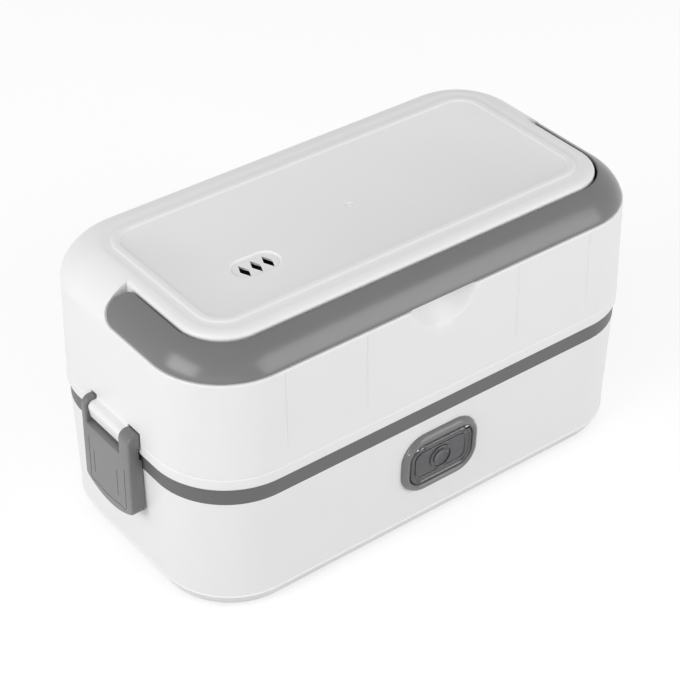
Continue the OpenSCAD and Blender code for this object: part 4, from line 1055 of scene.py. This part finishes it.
# %% [markdown]
# ## The base's lower edge
#
# The base shell keeps its solid, with its bosses and holes. Only its lower edge differs
# from a plain round: a slanted plane under a fine bead, which catches the light along the
# whole base. The solid's edge is an arc of rows, so each row is moved to its place on the
# new profile. That keeps the mesh closed, which new faces and a Boolean might not.

# %% Base edge
BASE_Z0, BASE_Z1, BOTTOM_R, BAND_IN = 1.5, 56.6, 10.0, 0.95
EDGE_PROFILE = [(-5.5, 1.5), (-4.6, 1.55), (-3.9, 1.75), (-3.4, 2.2), (-2.3, 4.4), (-1.6, 5.9),
                (-1.03, 6.75), (-0.98, 7.15), (-1.24, 7.6), (-1.19, 9.0), (-1.13, 11.25)]
ARC_OFF = -LEAN * (BASE_Z1 - BASE_Z0 - BOTTOM_R) - BOTTOM_R / math.cos(TILT)
ON_ARC = 0.015


def from_outline(x, y):
    """How far a place lies outside the base's outline, and the direction out."""
    dx, dy = max(abs(x) - HALF_X, 0), max(abs(y) - HALF_Y, 0)
    out = Vector((math.copysign(dx, x), math.copysign(dy, y)))
    return out.length - CORNER_R + BAND_IN, out.normalized()


def on_profile(turn):
    """The place on the new profile for an angle on the old arc, from 0 at the bottom."""
    last = len(EDGE_PROFILE) - 1
    t = min(max(turn / (math.pi / 2 - TILT), 0), 1) * last
    i = min(int(t + 1e-4), last - 1)
    return Vector(EDGE_PROFILE[i]).lerp(Vector(EDGE_PROFILE[i + 1]), t - i)


bm = bmesh.new()
bm.from_mesh(nodes["base_shell"].data)
bmesh.ops.remove_doubles(bm, verts=bm.verts, dist=0.002 * MM)
moved = 0
for v in bm.verts:
    x, y, z = v.co / MM
    off, way = from_outline(x, y)
    du, dz = off - ARC_OFF, z - BASE_Z0 - BOTTOM_R
    if way.length > 0 and dz <= 0 and abs(math.hypot(du, dz) - BOTTOM_R) <= ON_ARC:
        new_off, new_z = on_profile(math.atan2(dz, du) + math.pi / 2)
        v.co += Vector((way.x * (new_off - off), way.y * (new_off - off), new_z - z)) * MM
        moved += 1
print("points moved to the new edge:", moved)
finish_piece(bm, "base_casing", white_pp, "base", "base_shell")

# %% [markdown]
# ## The inlet's flap
#
# The flap is a plate of smoky polycarbonate with a raised edge, a fine raised line inside
# it, a ringed dish for the thumb, and a barrel at the top that turns on a steel pin. Rows go
# from the back edge over the rim to the middle, and the flat part round the ring is
# filled between the loops.

# %% Flap sizes
FLAP_GAP, FLAP_BACK, FLAP_FRONT, FLAP_FACE = 0.5, 0.6, 2.0, 1.35
FLAP_ROWS = [(0.3, FLAP_BACK), (0.0, FLAP_BACK + 0.2), (0.0, FLAP_FRONT - 0.4),
             (0.1, FLAP_FRONT - 0.15), (0.35, FLAP_FRONT), (0.75, FLAP_FRONT),
             (0.95, FLAP_FRONT - 0.12), (1.3, FLAP_FACE + 0.05), (1.5, FLAP_FACE)]
FLAP_TOP_X, RELIEF_Z = 12.5, 7.4
FRAME_IN, FRAME_TOP, FRAME_R = 2.5, 6.1, 4.0
FRAME_ROWS = [(0.0, 0.0), (0.1, 0.3), (0.25, 0.4), (0.5, 0.4), (0.65, 0.3), (0.75, 0.0), (1.0, 0.0)]
THUMB_Z = -0.8
THUMB_ROWS = [(5.8, 0.0), (5.7, 0.45), (5.5, 0.6), (5.1, 0.6), (4.9, 0.45), (4.8, 0.0), (3.7, 0.0),
              (3.6, 0.4), (3.3, 0.55), (2.6, 0.4), (1.6, 0.25)]
AXIS_Z, AXIS_PROUD, BARREL_R, BARREL_SOFT = 8.7, 1.3, 1.3, 0.3
flap_x, flap_z, flap_r = PORT[0] / 2 - FLAP_GAP, PORT[1] / 2 - FLAP_GAP, PORT[2] - FLAP_GAP


def flap_outline(inset):
    """The flap's outline shrunk by an inset, with its top corners cut back."""
    made = round_outline(2 * (flap_x - inset), 2 * (flap_z - inset), flap_r - inset, 18)
    side, low = FLAP_TOP_X - inset, RELIEF_Z - inset
    return [(math.copysign(side, x) if abs(x) > side and z > low else x, z) for x, z in made]


def frame_outline(inset):
    """The raised line inside the flap's edge, which stays below the cut-back corners."""
    top, low = FRAME_TOP - inset, FRAME_IN + inset - flap_z
    made = round_outline(2 * (flap_x - FRAME_IN - inset), top - low, FRAME_R - inset, 18)
    return [(x, z + (top + low) / 2) for x, z in made]


print("the flap is", 2 * flap_x, "by", 2 * flap_z, "mm")

# %% Build the flap
bm = bmesh.new()
rings = [wall_row(bm, flap_outline(inset), proud) for inset, proud in FLAP_ROWS]
rings += [wall_row(bm, frame_outline(inset), FLAP_FACE + rise) for inset, rise in FRAME_ROWS]
thumb = [wall_row(bm, arc(0, THUMB_Z, r, 0, 352.5, 47), FLAP_FACE + rise) for r, rise in THUMB_ROWS]
join_all(bm, rings)
join_all(bm, thumb)
fill_loops(bm, rings[0])
fill_loops(bm, rings[-1], thumb[0])
fill_loops(bm, thumb[-1])
half = flap_x - flap_r
ends = ((-half, BARREL_R - BARREL_SOFT), (BARREL_SOFT - half, BARREL_R),
        (half - BARREL_SOFT, BARREL_R), (half, BARREL_R - BARREL_SOFT))
barrel = [add_row(bm, [in_wall(x, AXIS_Z + v, AXIS_PROUD + u) for u, v in arc(0, 0, r, 0, 345, 23)])
          for x, r in ends]
join_all(bm, barrel, capped=True)
finish_piece(bm, "flap_plate", smoky_pc, "flap", "inlet_flap")

# %% [markdown]
# ## Smooth shading on the solids that stay
#
# The grey band, the feet and the inner pieces keep their CAD shape. Smooth shading with
# crisp corners makes their round edges read as round.

# %% Shade the CAD nodes
for node in nodes.values():
    smooth_by_angle(node.data)
print("shaded", len(nodes), "solids")

# %% [markdown]
# ## Floor and light
#
# The box stands on a white sweep in a studio. The floor keeps a soft shadow, and the
# white comes from its own colour and from a little extra light that only the camera,
# reflections and see-through pieces see. One soft box on the left and one in front on
# the right draw the two long highlights of the handle, and a broad weak one fills the
# near corner. The world is brighter at the horizon than overhead, so that the walls come
# out a little lighter than the top, as they are in the photograph.

# %% Floor
FLOOR_COLOUR, FLOOR_LIFT, FLOOR_SIZE = "#B4B4B4", 0.62, 12
WHITE = (1, 1, 1, 1)


def largest(tree, *values):
    """The largest of several values."""
    made = values[0]
    for value in values[1:]:
        made = add(tree, "ShaderNodeMath", {"operation": "MAXIMUM"}, _0=made, _1=value).outputs[0]
    return made


floor_material, tree, shader = new_material("white_sweep", Roughness=0.9, Emission_Color=WHITE,
                                            Base_Color=linear(FLOOR_COLOUR))
rays = add(tree, "ShaderNodeLightPath").outputs
seen = largest(tree, rays["Is Camera Ray"], rays["Is Glossy Ray"], rays["Is Transmission Ray"])
lift = add(tree, "ShaderNodeMath", {"operation": "MULTIPLY"}, _0=seen, _1=FLOOR_LIFT)
tree.links.new(lift.outputs[0], shader.inputs["Emission Strength"])
bpy.ops.mesh.primitive_plane_add(size=FLOOR_SIZE, location=(0, 0, 0))
floor = bpy.context.object
floor.name = "white_sweep"
floor.data.materials.append(floor_material)
print("the floor is", FLOOR_SIZE, "m wide")

# %% World
WORLD_LOW, WORLD_HIGH = 0.88, 0.41
world = bpy.data.worlds.new("studio")
bpy.context.scene.world = world
world.use_nodes = True
tree = world.node_tree
sky = tree.nodes["Background"]
sky.inputs["Color"].default_value = WHITE
rays = add(tree, "ShaderNodeLightPath").outputs
seen = largest(tree, rays["Is Camera Ray"], rays["Is Transmission Ray"])
way = add(tree, "ShaderNodeTexCoord").outputs["Generated"]
height = add(tree, "ShaderNodeSeparateXYZ", Vector=way).outputs["Z"]
dome = add(tree, "ShaderNodeMapRange", Value=height, _3=WORLD_LOW, _4=WORLD_HIGH)
power = add(tree, "ShaderNodeMapRange", Value=seen, _3=dome.outputs["Result"], _4=1.0)
tree.links.new(power.outputs["Result"], sky.inputs["Strength"])
print("world light:", WORLD_LOW, "at the horizon,", WORLD_HIGH, "overhead")

# %% Lamps
AIM = Vector((0, 0, 60))
LAMPS = {
    "left_box": ((-980, 20, 520), (700, 500), 4.5),
    "front_box": ((500, -950, 520), (720, 780), 4.5),
    "corner_fill": ((-900, -900, 230), (1200, 800), 1.6),
}
for name, (spot, size, watts) in LAMPS.items():
    lamp = bpy.data.objects.new(name, bpy.data.lights.new(name, "AREA"))
    lamp.data.shape = "RECTANGLE"
    lamp.data.size, lamp.data.size_y = (v * MM for v in size)
    lamp.data.energy = watts
    lamp.location = Vector(spot) * MM
    lamp.rotation_euler = (AIM - Vector(spot)).to_track_quat("-Z", "Y").to_euler()
    bpy.context.scene.collection.objects.link(lamp)
print("lamps:", len(LAMPS))
